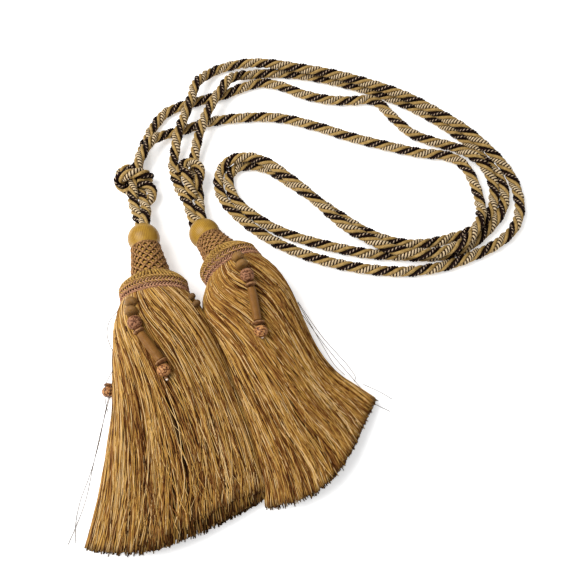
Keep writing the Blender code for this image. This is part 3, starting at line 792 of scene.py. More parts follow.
def hanging_tree() -> Growth:
    """Write the tree that lays threads over a surface that has a map named lay.

    Returns:
        The tree, which takes the surface and gives the threads alone.
    """
    made = Growth("hanging_threads", {
        "Threads": ("Int", 100), "Points": ("Int", 12), "Thread Radius": ("Float", 0.0004),
        "Sides": ("Int", 3), "Arc Start": ("Float", 0.0), "Arc Span": ("Float", 1.0),
        "Scatter": ("Float", 1.0), "Sweep": ("Float", 0.0), "From": ("Float", 0.0), "To": ("Float", 1.0),
        "Ragged": ("Float", 0.0), "Ragged Top": ("Float", 0.0), "Short": ("Float", 0.0),
        "Short At": ("Float", 0.0), "Short Width": ("Float", 1.0), "Sink": ("Float", 0.0),
        "Sink Power": ("Float", 2.0), "Locks": ("Float", 14.0), "Lock Pull": ("Float", 0.0),
        "Lock Lean": ("Float", 0.0), "Lock Sway": ("Float", 0.0), "Lock Sink": ("Float", 0.0),
        "Lock Lift": ("Float", 0.0), "Lock Beats": ("Float", 8.0), "Deepening": ("Float", 9.0),
        "Groove": ("Float", 0.0), "Wander": ("Float", 0.0), "Cross": ("Float", 0.0),
        "Frizz": ("Float", 0.0), "Lift": ("Float", 0.0), "Floor": ("Float", -1.0), "Seed": ("Int", 0),
        "Material": ("Material", None)})
    d, given = made.draft, made.given
    line, thread, step = made.lines(given["Threads"])

    def chance(draw: Draw, owner: Any = thread) -> bpy.types.NodeSocket:
        """Return a number from 0 to 1 that belongs to the thread, or to the owner given."""
        seed = d.plus(given["Seed"], float(draw))
        return d.node("FunctionNodeRandomValue", {2: 0.0, 3: 1.0, "ID": owner, "Seed": seed}).outputs[1]

    def straying(draw: Draw, owner: Any, apart: float, beats: Any, row: float) -> bpy.types.NodeSocket:
        """Return a number from -0.5 to 0.5 that changes smoothly along the thread.

        Args:
            draw: what the number decides.
            owner: whose number it is, a thread's or a lock's.
            apart: how far apart the owners read the noise.
            beats: how fast the number changes along the thread.
            row: the row of the noise that it is read from.

        Returns:
            The number's socket.
        """
        spot = d.combine(d.times(chance(draw, owner), apart), d.times(run, beats), row)
        return d.centred(d.noise(spot, 1.0, 1.0))

    # Where each thread starts and ends. Its points crowd near the top, where yarns bend most.
    share = d.over(d.plus(thread, d.times(given["Scatter"], chance(Draw.PLACE))), given["Threads"])
    own = d.plus(given["Arc Start"], d.times(given["Arc Span"], share))
    begin = d.plus(given["From"], d.times(given["Ragged Top"], chance(Draw.TOP)))
    stop = d.minus(given["To"], d.times(given["Ragged"], d.math("POWER", chance(Draw.LENGTH), 1.6)))
    away = d.math("ABSOLUTE", d.minus(d.minus(own, given["Sweep"]), given["Short At"]))
    nearby = d.minus(1.0, d.over(away, given["Short Width"]), clamp=True)
    stop = d.minus(stop, d.times(given["Short"], d.math("SQRT", nearby)))
    run = d.plus(begin, d.times(d.math("POWER", step, 1.35), d.minus(stop, begin)))
    loose, left = d.math("SQRT", run), d.minus(1.0, run)

    # The lock that the thread hangs in, and its place in it.
    warp = d.noise(d.combine(d.times(own, 30.0), 7.0, given["Seed"]), 1.0, 1.0)
    spread = d.plus(d.times(own, given["Locks"]), d.times(warp, 3.0))
    lock = d.math("FLOOR", spread)
    offcentre = d.centred(d.minus(spread, lock))

    # How far round the skirt it strays on its way down.
    pull = d.times(d.times(offcentre, given["Lock Pull"]), d.minus(1.15, run))
    pull = d.over(pull, given["Locks"])
    lean = d.times(d.centred(chance(Draw.LOCK_LEAN, lock)), d.times(given["Lock Lean"], d.minus(run, 0.3)))
    sway = d.times(straying(Draw.LOCK_SWAY, lock, 300.0, 2.6, 5.0), d.times(given["Lock Sway"], loose))
    slow = d.combine(d.times(own, 9.0), d.times(run, 1.6), given["Seed"])
    drift = d.times(d.centred(d.noise(slow, 1.0, 2.0)), d.times(given["Wander"], run))
    tilt = d.times(d.centred(chance(Draw.TILT)), d.times(given["Cross"], d.minus(run, 0.3)))
    frizz = d.times(straying(Draw.FRIZZ, thread, 500.0, 6.0, 3.0), d.times(given["Frizz"], loose))
    swept = d.times(given["Sweep"], d.minus(1.0, d.math("POWER", left, 3.0)))
    round_at = d.minus(d.minus(own, pull), swept)
    for part in (lean, sway, drift, tilt, frizz):
        round_at = d.plus(round_at, part)
    spot = d.combine(d.between(d.math("FRACT", round_at), MAP_MARGIN, 1.0 - MAP_MARGIN),
                     d.between(run, MAP_MARGIN, 1.0 - MAP_MARGIN), 0.0)

    # The surface there, the heart of the skirt behind it, and the way outward.
    lay = d.node("GeometryNodeInputNamedAttribute", {"Name": "lay"}, data_type="FLOAT_VECTOR")
    heart = d.node("GeometryNodeInputNamedAttribute", {"Name": "heart"}, data_type="FLOAT_VECTOR")
    surface, middle, outward = [
        d.node("GeometryNodeSampleUVSurface",
               {"Mesh": given["Geometry"], "Value": value, "UV Map": lay, "Sample UV": spot},
               data_type="FLOAT_VECTOR").outputs[0]
        for value in (d.node("GeometryNodeInputPosition"), heart, d.node("GeometryNodeInputNormal"))]

    # How deep the thread lies between the others, and how it and its lock rise and fall.
    edge = d.math("POWER", d.math("ABSOLUTE", d.times(offcentre, 2.0)), 3.0)
    groove = d.times(edge, given["Groove"])
    sink = d.times(d.math("POWER", chance(Draw.SINK), given["Sink Power"]), given["Sink"])
    low = d.times(chance(Draw.LOCK_SINK, lock), given["Lock Sink"])
    freed = d.math("MINIMUM", d.times(d.plus(run, 0.02), 7.0), 1.0)
    depth = d.times(d.plus(d.plus(sink, groove), low), freed)
    point = d.node("ShaderNodeMix", {0: depth, 4: surface, 5: middle}, data_type="VECTOR").outputs[1]
    lift = d.times(straying(Draw.LIFT, thread, 700.0, 5.0, 11.0), given["Lift"])
    weave = d.times(straying(Draw.LOCK_BEAT, lock, 900.0, given["Lock Beats"], 23.0), given["Lock Lift"])
    point = d.vector("ADD", point, d.scaled(d.vector("NORMALIZE", outward), d.plus(lift, weave)))
    at = d.node("ShaderNodeSeparateXYZ", {0: point}).outputs
    point = d.combine(at[0], at[1], d.math("MAXIMUM", at[2], given["Floor"]))
    line = d.node("GeometryNodeSetPosition", {"Geometry": line, "Position": point})

    # Painted shade: a thread is marked darker the deeper it lies among the others and the lower its lock
    # dips.
    deep = d.plus(d.times(depth, given["Deepening"]), d.times(weave, -180.0), clamp=True)
    line = d.stored(line, {"tone": chance(Draw.TONE), "run": run, "lock": chance(Draw.LOCK_TONE, lock),
                           "left": d.minus(stop, run), "deep": deep})
    made.end_with(made.tubes(line))
    return made


def netting_tree() -> Growth:
    """Write the tree that nets crossed threads over a cone.

    Returns:
        The tree, which ignores what it is given and makes the threads about its own +Z.
    """
    made = Growth("netted_rows", {
        "Rows": ("Int", 8), "Loops": ("Int", 14), "Points": ("Int", 40), "Start": ("Float", 0.0),
        "End": ("Float", 0.03), "Start Radius": ("Float", 0.012), "End Radius": ("Float", 0.016),
        "Thread Radius": ("Float", 0.0005), "Knot": ("Float", 0.3), "Slack": ("Float", 0.2),
        "Sides": ("Int", 6), "Material": ("Material", None)})
    d, given = made.draft, made.given
    line, thread, step = made.lines(d.times(given["Loops"], 2.0))

    # Every second thread winds the other way.
    hand = d.minus(1.0, d.times(d.math("MODULO", thread, 2.0), 2.0))
    number = d.math("FLOOR", d.over(thread, 2.0))
    rows = d.times(given["Rows"], step)
    beat = d.times(rows, TAU)
    slack = d.times(d.math("SINE", beat), given["Slack"])
    travel = d.times(d.times(d.plus(rows, slack), 0.5), hand)
    angle = d.times(d.over(d.plus(number, travel), given["Loops"]), TAU)

    # Threads swell and pass over one another where they are knotted.
    knot = d.times(d.plus(d.math("COSINE", beat), 1.0), 0.5)
    swell = d.plus(1.0, d.times(given["Knot"], d.math("POWER", knot, 2.0)))
    line = d.stored(line, {"swell": swell})
    station = d.plus(given["Start"], d.times(step, d.minus(given["End"], given["Start"])))
    radius = d.plus(given["Start Radius"], d.times(step, d.minus(given["End Radius"], given["Start Radius"])))
    radius = d.plus(radius, d.times(d.times(given["Thread Radius"], 0.5), d.times(knot, hand)))
    cosine, sine = d.math("COSINE", angle), d.math("SINE", angle)
    point = d.combine(d.times(radius, cosine), d.times(radius, sine), station)
    line = d.node("GeometryNodeSetPosition", {"Geometry": line, "Position": point})
    size = d.node("GeometryNodeInputNamedAttribute", {"Name": "swell"}, data_type="FLOAT")
    made.end_with(made.tubes(line, Scale=size))
    return made


@dataclass
class Loom:
    """The trees that every sub-assembly grows its threads with."""

    ply: Growth = field(default_factory=strand_tree)
    hanging: Growth = field(default_factory=hanging_tree)
    netting: Growth = field(default_factory=netting_tree)


# ---------------------------------------------------------------- the rope


@dataclass(frozen=True)
class Ply:
    """One ply of a laid rope: its finish, its sizes in metres and how many quarter turns round it starts."""

    finish: Finishes
    radius: float
    helix_radius: float
    step: float
    quarter: float
    rib_rings: int = 1
    rib_depth: float = 0.0
    slant: float = 0.0
    sides: int = 7


@dataclass
class LaidRope:
    """Four-ply rope: two fat ribbed gimps and two thinner satin plies in turn. Sizes in metres."""

    loom: Loom
    diameter: float = 0.0095
    lay_length: float = 0.030
    plies: tuple[Ply, ...] = (
        Ply(Finishes.BLACK, 0.00246, 0.00260, 0.00084, 0.0, 3, 0.22, -0.05),
        Ply(Finishes.SATIN, 0.00164, 0.00286, 0.0020, 1.0),
        Ply(Finishes.BEIGE, 0.00242, 0.00260, 0.00084, 2.0, 3, 0.24, -0.05),
        Ply(Finishes.SATIN, 0.00164, 0.00286, 0.0020, 3.0))

    @property
    def clearance(self) -> float:
        """Return the lowest height that the centre line may have over the ground, in millimetres."""
        return self.diameter / 2 / MM + 0.15

    def wind(self, name: str, line: Sequence[Vector], turn: float = 0.0) -> bpy.types.Object:
        """Wind the plies along a line.

        Args:
            name: the rope's name.
            line: its centre line, in metres.
            turn: how far round the plies start, in radians.

        Returns:
            The rope as one mesh object.
        """
        made = []
        for number, ply in enumerate(self.plies):
            made.append(self.loom.ply.grow(
                curve_of(line), f"{name}_ply_{number}", Lay_Length=self.lay_length,
                Helix_Radius=ply.helix_radius, Ply_Radius=ply.radius, Phase=turn + ply.quarter * TAU / 4,
                Step=ply.step, Rib_Rings=ply.rib_rings, Rib_Depth=ply.rib_depth, Slant=ply.slant,
                Sides=ply.sides, Material=ply.finish.material))
        return joined(name, made)


# Rope routes: (x, y, height of the centre line). Both run from the left ball to the right one.
OUTER_ROUTE: list[Point] = [
    (-84.2, 86, 19.5), (-86.2, 94, 18.5), (-91, 107, 16), (-96, 121, 14), (-98, 137, 12),
    (-97.4, 151, 13.5), (-96, 162, 14.8),
    (-93.8, 170, 15), (-91.5, 178, 15), (-86, 191, 13), (-77, 201, 8), (-63, 208, 5), (-40, 218, 5),
    (-5, 225, 5), (30, 225, 5), (65, 215, 5), (100, 201, 5), (135, 190, 5), (165, 182, 5),
    (186, 179, 5), (198, 173, 5), (205, 162, 5), (209, 148, 5), (211, 136, 5), (211, 124, 6.5),
    (209.5, 112, 11), (206.5, 101.5, 14.5), (201.5, 91.5, 15), (194, 82, 15), (183, 74, 15),
    (168, 68.5, 15),
    (147, 67, 15), (126, 72.5, 14.5), (105, 85.5, 13), (95, 92, 12.5), (81, 105, 12.5),
    (67, 120.5, 13), (53, 135, 14), (38, 148.5, 14.8), (24, 161, 15), (14, 166.5, 15), (5.6, 169, 15),
    (-2, 169, 15),
    (-9, 168, 14), (-15.4, 165.5, 12), (-20.2, 161, 8.5), (-22.8, 155.5, 6), (-23.2, 148.5, 5),
    (-21.7, 138.5, 5), (-16.8, 127.5, 5), (-10.2, 118.5, 5), (3.2, 104.5, 5), (30, 84, 5), (65, 68, 5),
    (105, 58, 5), (144, 55.5, 5), (172, 60.5, 5), (199, 71, 5),
    (221, 83, 5), (238, 99, 5), (246, 118, 5), (247, 135, 5), (245, 148, 6), (236, 166, 9.5),
    (222.5, 182.5, 13), (208.5, 198, 15), (182, 222, 15), (150, 245, 15), (118, 260, 15), (85, 272, 15),
    (52, 280, 15), (22, 286, 15), (3, 291, 11), (-15, 293, 6), (-31, 288, 5), (-42, 276, 9),
    (-49, 261, 15), (-53, 240, 15), (-58, 217, 15), (-62, 198, 15), (-64, 184, 11), (-65, 174, 8),
    (-65.6, 167, 6), (-64, 158, 5.2), (-61, 149, 6), (-57, 138, 8), (-51.5, 127.5, 12), (-46.6, 116, 14),
    (-43.6, 106.5, 14), (-41, 98.5, 13.5), (-38, 92, 13),
]
INNER_ROUTE: list[Point] = [
    (-81.5, 86, 24), (-81.4, 94, 23.5), (-83, 108, 17), (-87, 122, 11), (-93, 138, 6), (-97, 150, 5),
    (-98, 160, 5),
    (-97.7, 172, 5), (-97, 181, 5), (-93, 198, 5), (-87, 216, 5), (-78, 231, 5), (-63, 240, 5),
    (-45, 247, 5), (-22, 255, 5), (-5, 264, 5), (12, 270, 5), (30, 267, 5), (55, 255, 5),
    (80, 248, 5), (104, 247, 5), (120, 248, 5), (129, 243, 5), (135, 234, 5), (145, 220, 5),
    (157, 206, 5), (176, 196, 5), (196, 187, 7), (209, 175.5, 10.5), (217.5, 165, 11.5), (223, 154.5, 9),
    (226, 145, 6), (225.5, 134, 5), (223, 123, 5), (217, 111, 5), (208, 101, 5), (196.5, 94, 5),
    (180, 88, 5), (160, 83, 5), (143, 82.5, 5), (127, 86, 5), (108, 95, 5), (86, 111.5, 5), (55, 137.5, 5),
    (38, 151, 5), (21.6, 163.3, 5), (9, 167.2, 5), (-1, 167, 5), (-7.3, 164.8, 5), (-11.4, 160, 5.3),
    (-14, 152.3, 5.8), (-12.8, 142.8, 6.3), (-9.6, 133.2, 6.8), (-4.3, 124.2, 7), (4, 115.3, 7),
    (13.5, 107.9, 6.5), (25.6, 99.6, 5.5), (38.2, 93.3, 5), (70, 82, 5), (87, 77.5, 5), (105, 73.5, 5),
    (125, 71.5, 5), (145, 70.5, 5), (160, 70, 5), (174, 71, 5.5), (186, 75, 5.5), (198, 82, 5),
    (208.5, 91, 5),
    (219, 102, 5), (228, 114, 5), (233.5, 127, 5), (235, 139, 5), (233.5, 151, 5), (228, 164, 5),
    (220, 177, 5),
    (213, 190, 5), (200, 205, 5), (182, 222, 5), (150, 245, 5), (118, 261, 5), (85, 273, 5),
    (52, 281, 5), (20, 283, 5), (3, 281, 5), (-9, 275, 10), (-18, 265, 15), (-25, 251, 15),
    (-32, 236, 15), (-37, 221, 15), (-41, 206, 15), (-44, 192, 12), (-46, 178, 9),
    (-46.7, 171, 7.4), (-46, 161, 5.6), (-43, 148, 5.2), (-40, 134, 7), (-38.7, 123, 9.5),
    (-37, 112.5, 12.5),
    (-34.8, 102, 15), (-33, 95, 15.5),
]


@dataclass
class TiebackCords:
    """The two long cords, each from the left ball, through both knots, to the right ball."""

    rope: LaidRope
    outer_turn: float = 0.4
    inner_turn: float = 2.0
    point_step: float = 2.5         # distance between the points of a centre line, mm

    def build(self) -> None:
        for name, route, turn in (
                ("cord_outer", OUTER_ROUTE, self.outer_turn), ("cord_inner", INNER_ROUTE, self.inner_turn)):
            line = [place(p) for p in smooth_line(route, self.point_step, self.rope.clearance)]
            cord = settle(self.rope.wind(f"laid_{name}", line, turn), "cord_yarn", name)


# The runs of rope in each knot, besides the legs of the two cords: (x, y, height of the centre line).
KNOT_RUNS: dict[str, dict[str, list[Point]]] = {
    "left_knot": {
        "upper_lobe": [(-97, 157, 9), (-102, 161, 8), (-109, 161, 7), (-113, 156, 6), (-112, 149, 5.5),
                       (-104, 145, 6)],
        "wrap": [(-101, 139, 6), (-109, 140, 9), (-111, 143, 15), (-104, 145, 20), (-94, 147, 20),
                 (-86, 149, 15), (-86, 150, 8), (-92, 148, 6)],
        "lower_lobe": [(-94, 141, 14), (-87, 140, 13), (-81, 134, 11), (-82, 127, 9), (-88, 122, 8)],
    },
    "right_knot": {
        "ring": [(-57, 150, 15), (-56, 158, 15), (-50, 163, 15), (-43, 161, 15), (-39, 153, 15),
                 (-40, 143, 14), (-45, 134, 12)],
        "inner_turn": [(-55, 154, 14), (-51.3, 149, 18.5), (-49, 141, 19), (-46, 132, 16), (-43, 124.5, 12)],
    },
}


@dataclass
class HandKnot:
    """The loops of rope of one knot, besides the two legs that the cords themselves run through it."""

    rope: LaidRope
    name: str
    point_step: float = 1.5         # distance between the points of a centre line, mm

    def build(self) -> None:
        """Wind the runs and join them as one piece."""
        parts = []
        for label, route in KNOT_RUNS[self.name].items():
            line = [place(p) for p in smooth_line(route, self.point_step, self.rope.clearance)]
            parts.append(self.rope.wind(f"{self.name}_{label}", line))
        settle(joined(f"laid_{self.name}", parts), "cord_yarn", self.name)


# ---------------------------------------------------------------- the tassels


class Side(Enum):
    """Which tassel."""

    LEFT = "left"
    RIGHT = "right"


# Where the two skirts meet, from the heads to the cut ends: (x, y).
SEAM = [(-31, 24), (-28, 10), (-22, 0), (-15.5, -12), (-9, -26), (-3, -41), (4, -60), (12.5, -84),
        (18, -101), (22, -114), (24.5, -126), (25.5, -142)]
# Skirt stations: (outer edge x, outer edge y, inner edge y on the seam, crown height, bow of the section)
SKIRT_ROWS = {
    Side.LEFT: [
        (-97, 6, 16, 44.5, 0), (-96.5, -14, -6, 41, 1), (-94.5, -38, -32, 36, 2), (-92, -66, -58, 31, 4),
        (-92.5, -94, -84, 27, 6), (-94, -120, -106, 23, 8), (-97, -145, -118, 19.5, 11),
        (-100.5, -166, -131, 16, 14)],
    Side.RIGHT: [
        (28, 54, 13, 47.5, 0), (39, 38, -4, 44.5, 1), (47.5, 20, -24, 40, 3), (55.5, -1, -46, 35, 6),
        (65, -20, -69, 30, 9), (77, -36, -91, 25, 12), (91, -46, -114, 20.5, 15), (108, -57, -139, 16, 19)],
}


@dataclass
class HeadMould:
    """Where a tassel's head lies and the sizes of its mould, in millimetres and degrees."""

    ball: Point
    heading: float
    rise: float
    neck_end: float
    rim_at: float
    cap_radius: float
    lean: float = 0.0           # how far the top of the rim hangs over the skirt, as a share of its height
    skew: float = 0.0           # the same toward one side
    slide: float = 2.0          # how far the ball sits down into the net
    ball_radius: float = 13.3
    neck_radii: tuple[float, float] = (12.0, 16.6)
    shoulder: float = 17.6
    flatness: float = 0.76
    braid_width: float = 12.2
    face: float = 12.6

    @property
    def axes(self) -> tuple[Vector, Vector, Vector]:
        """Return the along, side and up directions."""
        turn, lift = math.radians(self.heading), math.radians(self.rise)
        along = Vector((math.sin(turn) * math.cos(lift), -math.cos(turn) * math.cos(lift), math.sin(lift)))
        side = Vector((math.cos(turn), math.sin(turn), 0.0))
        return along, side, along.cross(side)

    @property
    def matrix(self) -> Matrix:
        """Return the move that stands a turned piece in the head, its own +Z along the head."""
        along, side, up = self.axes
        return Matrix.Translation(place(self.ball)) @ Matrix((side, up, along)).transposed().to_4x4()

    def ring(self, station: float, radius: float, flat: float, sides: int) -> list[Vector]:
        """Return a ring of the head in millimetres of the layout, flattened and leaned to a share."""
        along, side, up = self.axes
        centre = Vector(self.ball) + along * station
        made = []
        for k in range(sides):
            a = TAU * k / sides
            across = radius * math.cos(a)
            tall = radius * (1.0 + (self.flatness - 1.0) * flat) * math.sin(a)
            onward = along * (self.lean * tall + self.skew * across) * flat
            made.append(centre + side * across + up * tall + onward)
        return made

    def section(self, station: float, radius: float, flat: float, sides: int) -> list[Vector]:
        """Return a ring of the head in metres of the row frame."""
        return [place(p) for p in self.ring(station, radius, flat, sides)]


HEADS = {
    Side.LEFT: HeadMould((-81, 79, 22.0), 14.9, 1.5, 44.4, 62.4, 26.6, lean=0.02, skew=0.08),
    Side.RIGHT: HeadMould((-32, 88.5, 14.0), 33.0, 12.5, 37.4, 56.6, 24.9, lean=0.10, skew=0.02,
                           braid_width=14.4),
}


@dataclass
class TasselHead:
    """Ball, netted neck, ribbed cap and braided rim of one tassel. Sizes in millimetres."""

    side: Side
    mould: HeadMould
    loom: Loom
    stem_from: float = 8.2      # where the ball goes over into the stem that is hidden in the neck
    stem_radius: float = 11.5
    net_rows: int = 9
    net_loops: int = 13
    net_thread: float = 0.76    # radius of the netting thread
    pad_depth: float = 1.65     # how far under the net the padding starts
    pad_height: float = 1.1     # how far it swells out between the threads
    hollow_depth: float = 0.9   # how far it is drawn in below each knot
    hem_sides: int = 60         # corners of the cord where the net begins
    cap_ribs: int = 58
    rib_radius: float = 1.02
    braid_lay: float = 5.0      # length of one turn of a braid's cord
    braid_helix: float = 0.72
    braid_ply: float = 0.60

    def build(self) -> None:
        """Build and settle every piece of the head."""
        self.ball()
        self.neck()
        self.cap()
        self.braid()

    def node(self, part: str) -> str:
        """Return the name of the solid of one part."""
        return f"{self.side.value}_{part}"

    def ball(self) -> None:
        """Turn the satin-covered ball."""
        m = self.mould
        profile = [(m.ball_radius * math.sin(a), m.ball_radius * math.cos(a))
                   for a in np.radians(np.linspace(-86, 28, 30))]
        profile += [(self.stem_from, self.stem_radius), (m.face - m.slide + 0.4, self.stem_radius)]
        ball = dressed(turned(f"satin_{self.node('ball')}", [(z + m.slide, r) for z, r in profile], 96),
                       Finishes.BALL.material)
        settle(moved(ball, m.matrix), "gold_satin", self.node("ball"))

    def neck(self) -> None:
        """Pad the neck and net it."""
        m = self.mould
        near, far = m.neck_radii
        start, span = m.face, m.neck_end - m.face
        sides, steps = self.net_loops * 8, self.net_rows * 4
        rings, lumps = [], []
        for i in range(steps + 1):
            t = i / steps
            base = near - self.pad_depth + (far - near) * t
            ring = []
            for k in range(sides):
                turn, rows = self.net_loops * k / sides, self.net_rows * t
                # The place in the diamond of the net, each way, and the hollow below its upper crossing.
                one, two = (turn + rows / 2) % 1.0, (turn - rows / 2) % 1.0
                pad = math.sin(math.pi * one) * math.sin(math.pi * two)
                hollow = max(0.0, 1.0 - abs(one - two + 0.56) / 0.40)
                # lump is low toward the threads and in the hollow below each crossing, where the finish
                # paints shade.
                lumps.append(max(0.0, 0.02 + 0.96 * pad ** 0.85 - 0.95 * hollow))
                radius = base + self.pad_height * pad - self.hollow_depth * hollow
                a = TAU * k / sides
                ring.append(Vector((radius * math.cos(a), radius * math.sin(a), start + span * t)) * MM)
            rings.append(ring)
        core = dressed(sheet_of("neck_core", rings, closed=True), Finishes.NECK.material)
        hold(core, "lump", lumps + [0.5, 0.5])
        seed = add_object("seed", bpy.data.meshes.new("seed"))
        net = self.loom.netting.grow(
            seed, "net", Rows=self.net_rows, Loops=self.net_loops, Points=self.net_rows * 4 + 1,
            Start=start * MM, End=m.neck_end * MM, Start_Radius=(near - 0.55) * MM,
            End_Radius=(far - 0.55) * MM, Thread_Radius=self.net_thread * MM, Knot=0.25, Slack=0.08,
            Sides=6, Material=Finishes.NET.material)
        angles = [TAU * k / self.hem_sides for k in range(self.hem_sides + 1)]
        hem = [Vector((near * math.cos(a), near * math.sin(a), start)) * MM for a in angles]
        hem_plies = [
            self.loom.ply.grow(
                curve_of(hem), "hem", Lay_Length=0.0036, Helix_Radius=0.00035, Ply_Radius=0.0005,
                Phase=math.pi * half, Step=0.0007, Sides=6, Material=Finishes.NET.material)
            for half in (0, 1)]
        neck = joined(f"netted_{self.node('neck')}", [core, net, *hem_plies])
        settle(moved(neck, m.matrix), "net_thread", self.node("neck"))

    def cap(self) -> None:
        """Shape the cap, whose dark body is painted shade between the ribs, and cover it with ribs of thread
        from neck to rim.
        """
        m = self.mould
        start, stop = m.neck_end - 0.4, m.rim_at - m.braid_width + 0.2
        rings = []
        for t in np.linspace(0, 1, 15):
            radius = m.shoulder + (m.cap_radius - m.shoulder) * math.sin(math.pi / 2 * t) ** 0.85
            rings.append(m.section(start + (stop - start) * t, radius - 0.7, min(1.0, 0.25 + 1.2 * t), 72))
        body = dressed(sheet_of("cap_body", rings, closed=True), Finishes.CAP_GAP.material)
        skin = sheet_of("cap_skin", rings)
        ribs = self.loom.hanging.grow(
            skin, "cap_ribs", Threads=self.cap_ribs, Points=13, Thread_Radius=self.rib_radius * MM,
            Sides=7, Scatter=0.12, From=0.0, To=1.0, Locks=7.0, Material=Finishes.CAP.material)
        settle(joined(f"ribbed_{self.node('cap')}", [body, ribs]), "gold_satin", self.node("cap"))

    def braid(self) -> None:
        """Lay rows of two-ply cord round the rim over a solid dark band, painted shade between the cords."""
        m = self.mould
        start = m.rim_at - m.braid_width
        rings = [m.section(start + m.braid_width * t, m.cap_radius - 0.7, 1.0, 60)
                 for t in (0.0, 0.25, 0.5, 0.75, 1.0)]
        # The band is painted shade under the cords.
        parts = [dressed(sheet_of("braid_band", rings, closed=True), Finishes.BAND.material)]
        tan, rose, mauve = Finishes.BRAID_TAN, Finishes.BRAID_ROSE, Finishes.BRAID_MAUVE
        pairs = ((tan, tan), (tan, rose), (tan, rose), (rose, mauve), (rose, mauve))
        pitch = m.braid_width / len(pairs)
        for row, pair in enumerate(pairs):
            line = m.section(start + pitch * (row + 0.5), m.cap_radius - 0.1, 1.0, 120)
            line.append(line[0])
            lay = self.braid_lay * MM * (1 if row % 2 else -1)
            for half, finish in enumerate(pair):
                parts.append(self.loom.ply.grow(
                    curve_of(line), f"braid_{row}", Lay_Length=lay, Helix_Radius=self.braid_helix * MM,
                    Ply_Radius=self.braid_ply * MM, Phase=math.pi * half, Step=0.0008, Sides=6,
                    Material=finish.material))
        settle(joined(f"braided_{self.node('braid')}", parts), "braid_thread", self.node("braid"))


@dataclass
class TasselSkirt:
    """The hanging yarn of one tassel, from the rim to the cut ends. Sizes in millimetres."""

    side: Side
    mould: HeadMould
    loom: Loom
    rings: int = 44
    sides: int = 180
    easing: int = 4             # times that the sections below the rim are eased into one another
    eased_rings: int = 9        # the last of those sections
    edge_share: float = 0.34    # height of the sections' edges, as a share of their crown
    hanks: int = 13
    hank_depth: float = 0.4
    swell_depth: float = 0.5    # depth of the slower swell across the hanks
    overlap: float = 0.9        # how far the yarns of each skirt cross the seam
    top_overlap: float = 3.2    # the same at the top, where the skirts press together
    lap_from: float = -30.0     # y of the seam from which the overlap grows
    lap_full: float = 10.0      # y where it is whole
    rim_share: float = 0.07     # share of the rings that still take after the rim
    reach_past: float = 5.0     # how far the surface runs on past the mean cut, for the ragged ends
    lopsided: float = 0.5       # how much more the sections bow forward on the left than on the right
    sweep: float = 0.15         # how far round the yarns travel from rim to cut, as a share of a turn
    squareness: float = 0.86    # under 1 fills out the sides of the sections
    fullness: float = 0.92      # under 1 fills out their tops
    undercut: float = 2.3       # how steeply the sides turn in under the edge
    core_depth: float = 3.2     # how far inside the yarns' surface the dark core of painted shade lies

    @property
    def step_back(self) -> float:
        """Return how far short the top yarns end over the inner corner, as a share of their length."""
        return 0.076 if self.side is Side.LEFT else 0.0

    def seam_x(self, y: float) -> float:
        """Return the x of the line where the skirts meet."""
        return float(np.interp(-y, [-p[1] for p in SEAM], [p[0] for p in SEAM]))

    def stations(self) -> list[np.ndarray]:
        """Blend the table of stations smoothly into one row for each ring."""
        arr = np.array(SKIRT_ROWS[self.side], dtype=float)
        n = len(arr)
        out = []
        for t in np.linspace(0.0, n - 1.0, self.rings - 1):
            i = min(int(t), n - 2)
            u = t - i
            p0, p1, p2, p3 = arr[max(i - 1, 0)], arr[i], arr[i + 1], arr[min(i + 2, n - 1)]
            out.append(0.5 * (2 * p1 + (p2 - p0) * u + (2 * p0 - 5 * p1 + 4 * p2 - p3) * u * u
                              + (3 * p1 - p0 - 3 * p2 + p3) * u ** 3))
        return out

    def section(self, row: np.ndarray) -> list[Vector]:
        """Return one section of the skirt, as it lies away from the rim.

        Args:
            row: one row of stations().

        Returns:
            A ring of points in millimetres of the layout.
        """
        outer_x, outer_y, seam_y, crown, bow = row
        left_hand = self.side is Side.LEFT
        lap = float(np.interp(seam_y, (self.lap_from, self.lap_full), (self.overlap, self.top_overlap)))
        inner = Vector((self.seam_x(seam_y) + (lap if left_hand else -lap), seam_y, 0))
        outer = Vector((outer_x, outer_y, 0))
        left, right = (outer, inner) if left_hand else (inner, outer)
        mid, across = (left + right) / 2, (right - left) / 2
        half = across.length
        across = across / half
        onward = Vector((across.y, -across.x, 0))
        edge = self.edge_share * crown
        phase = 0.6 if left_hand else 2.0
        ring = []
        for k in range(self.sides):
            a = TAU * k / self.sides
            c, s = math.cos(a), math.sin(a)
            wide = math.copysign(abs(c) ** self.squareness, c)
            hank = self.hank_depth * math.cos(self.hanks * math.pi * wide + phase)
            hank += self.swell_depth * math.sin(7.0 * wide + 1.3)
            if s >= 0:
                z = edge + (crown - edge + hank * min(1.0, 2.5 * s)) * s ** self.fullness
            else:
                z = max(0.0, edge * (1.0 + self.undercut * s))
            ahead = bow * (1.0 - wide * wide) * (1.0 - self.lopsided * wide)
            ring.append(mid + across * half * wide + onward * ahead + Vector((0, 0, z)))
        return ring

    def sections(self) -> list[list[Vector]]:
        """Return every ring of the skirt, from the rim to past the cut, in millimetres of the layout."""
        rim = self.mould.ring(self.mould.rim_at - 1.6, self.mould.cap_radius - 0.9, 1.0, self.sides)
        rings = [rim]
        rows = self.stations()
        for i, row in enumerate(rows):
            near = min(1.0, i / (len(rows) * self.rim_share))
            blend = 0.55 + 0.45 * near * near * (3.0 - 2.0 * near)
            rings.append([r.lerp(p, blend) if near < 1.0 else p for r, p in zip(rim, self.section(row))])
        for _ in range(self.easing):
            for i in range(1, self.eased_rings):
                rings[i] = [(a + 2.0 * b + c) / 4.0 for a, b, c in zip(rings[i - 1], rings[i], rings[i + 1])]
        last, before = rings[-1], rings[-3]
        rings.append([p + (p - q).normalized() * self.reach_past for p, q in zip(last, before)])
        return rings

    def drawn_in(self, ring: Sequence[Vector]) -> list[Vector]:
        """Return a ring drawn in toward its heart by the depth of the core."""
        heart = sum(ring, Vector()) / len(ring)
        return [p + (heart - p) * min(0.8, self.core_depth / max((heart - p).length, 1e-6)) for p in ring]

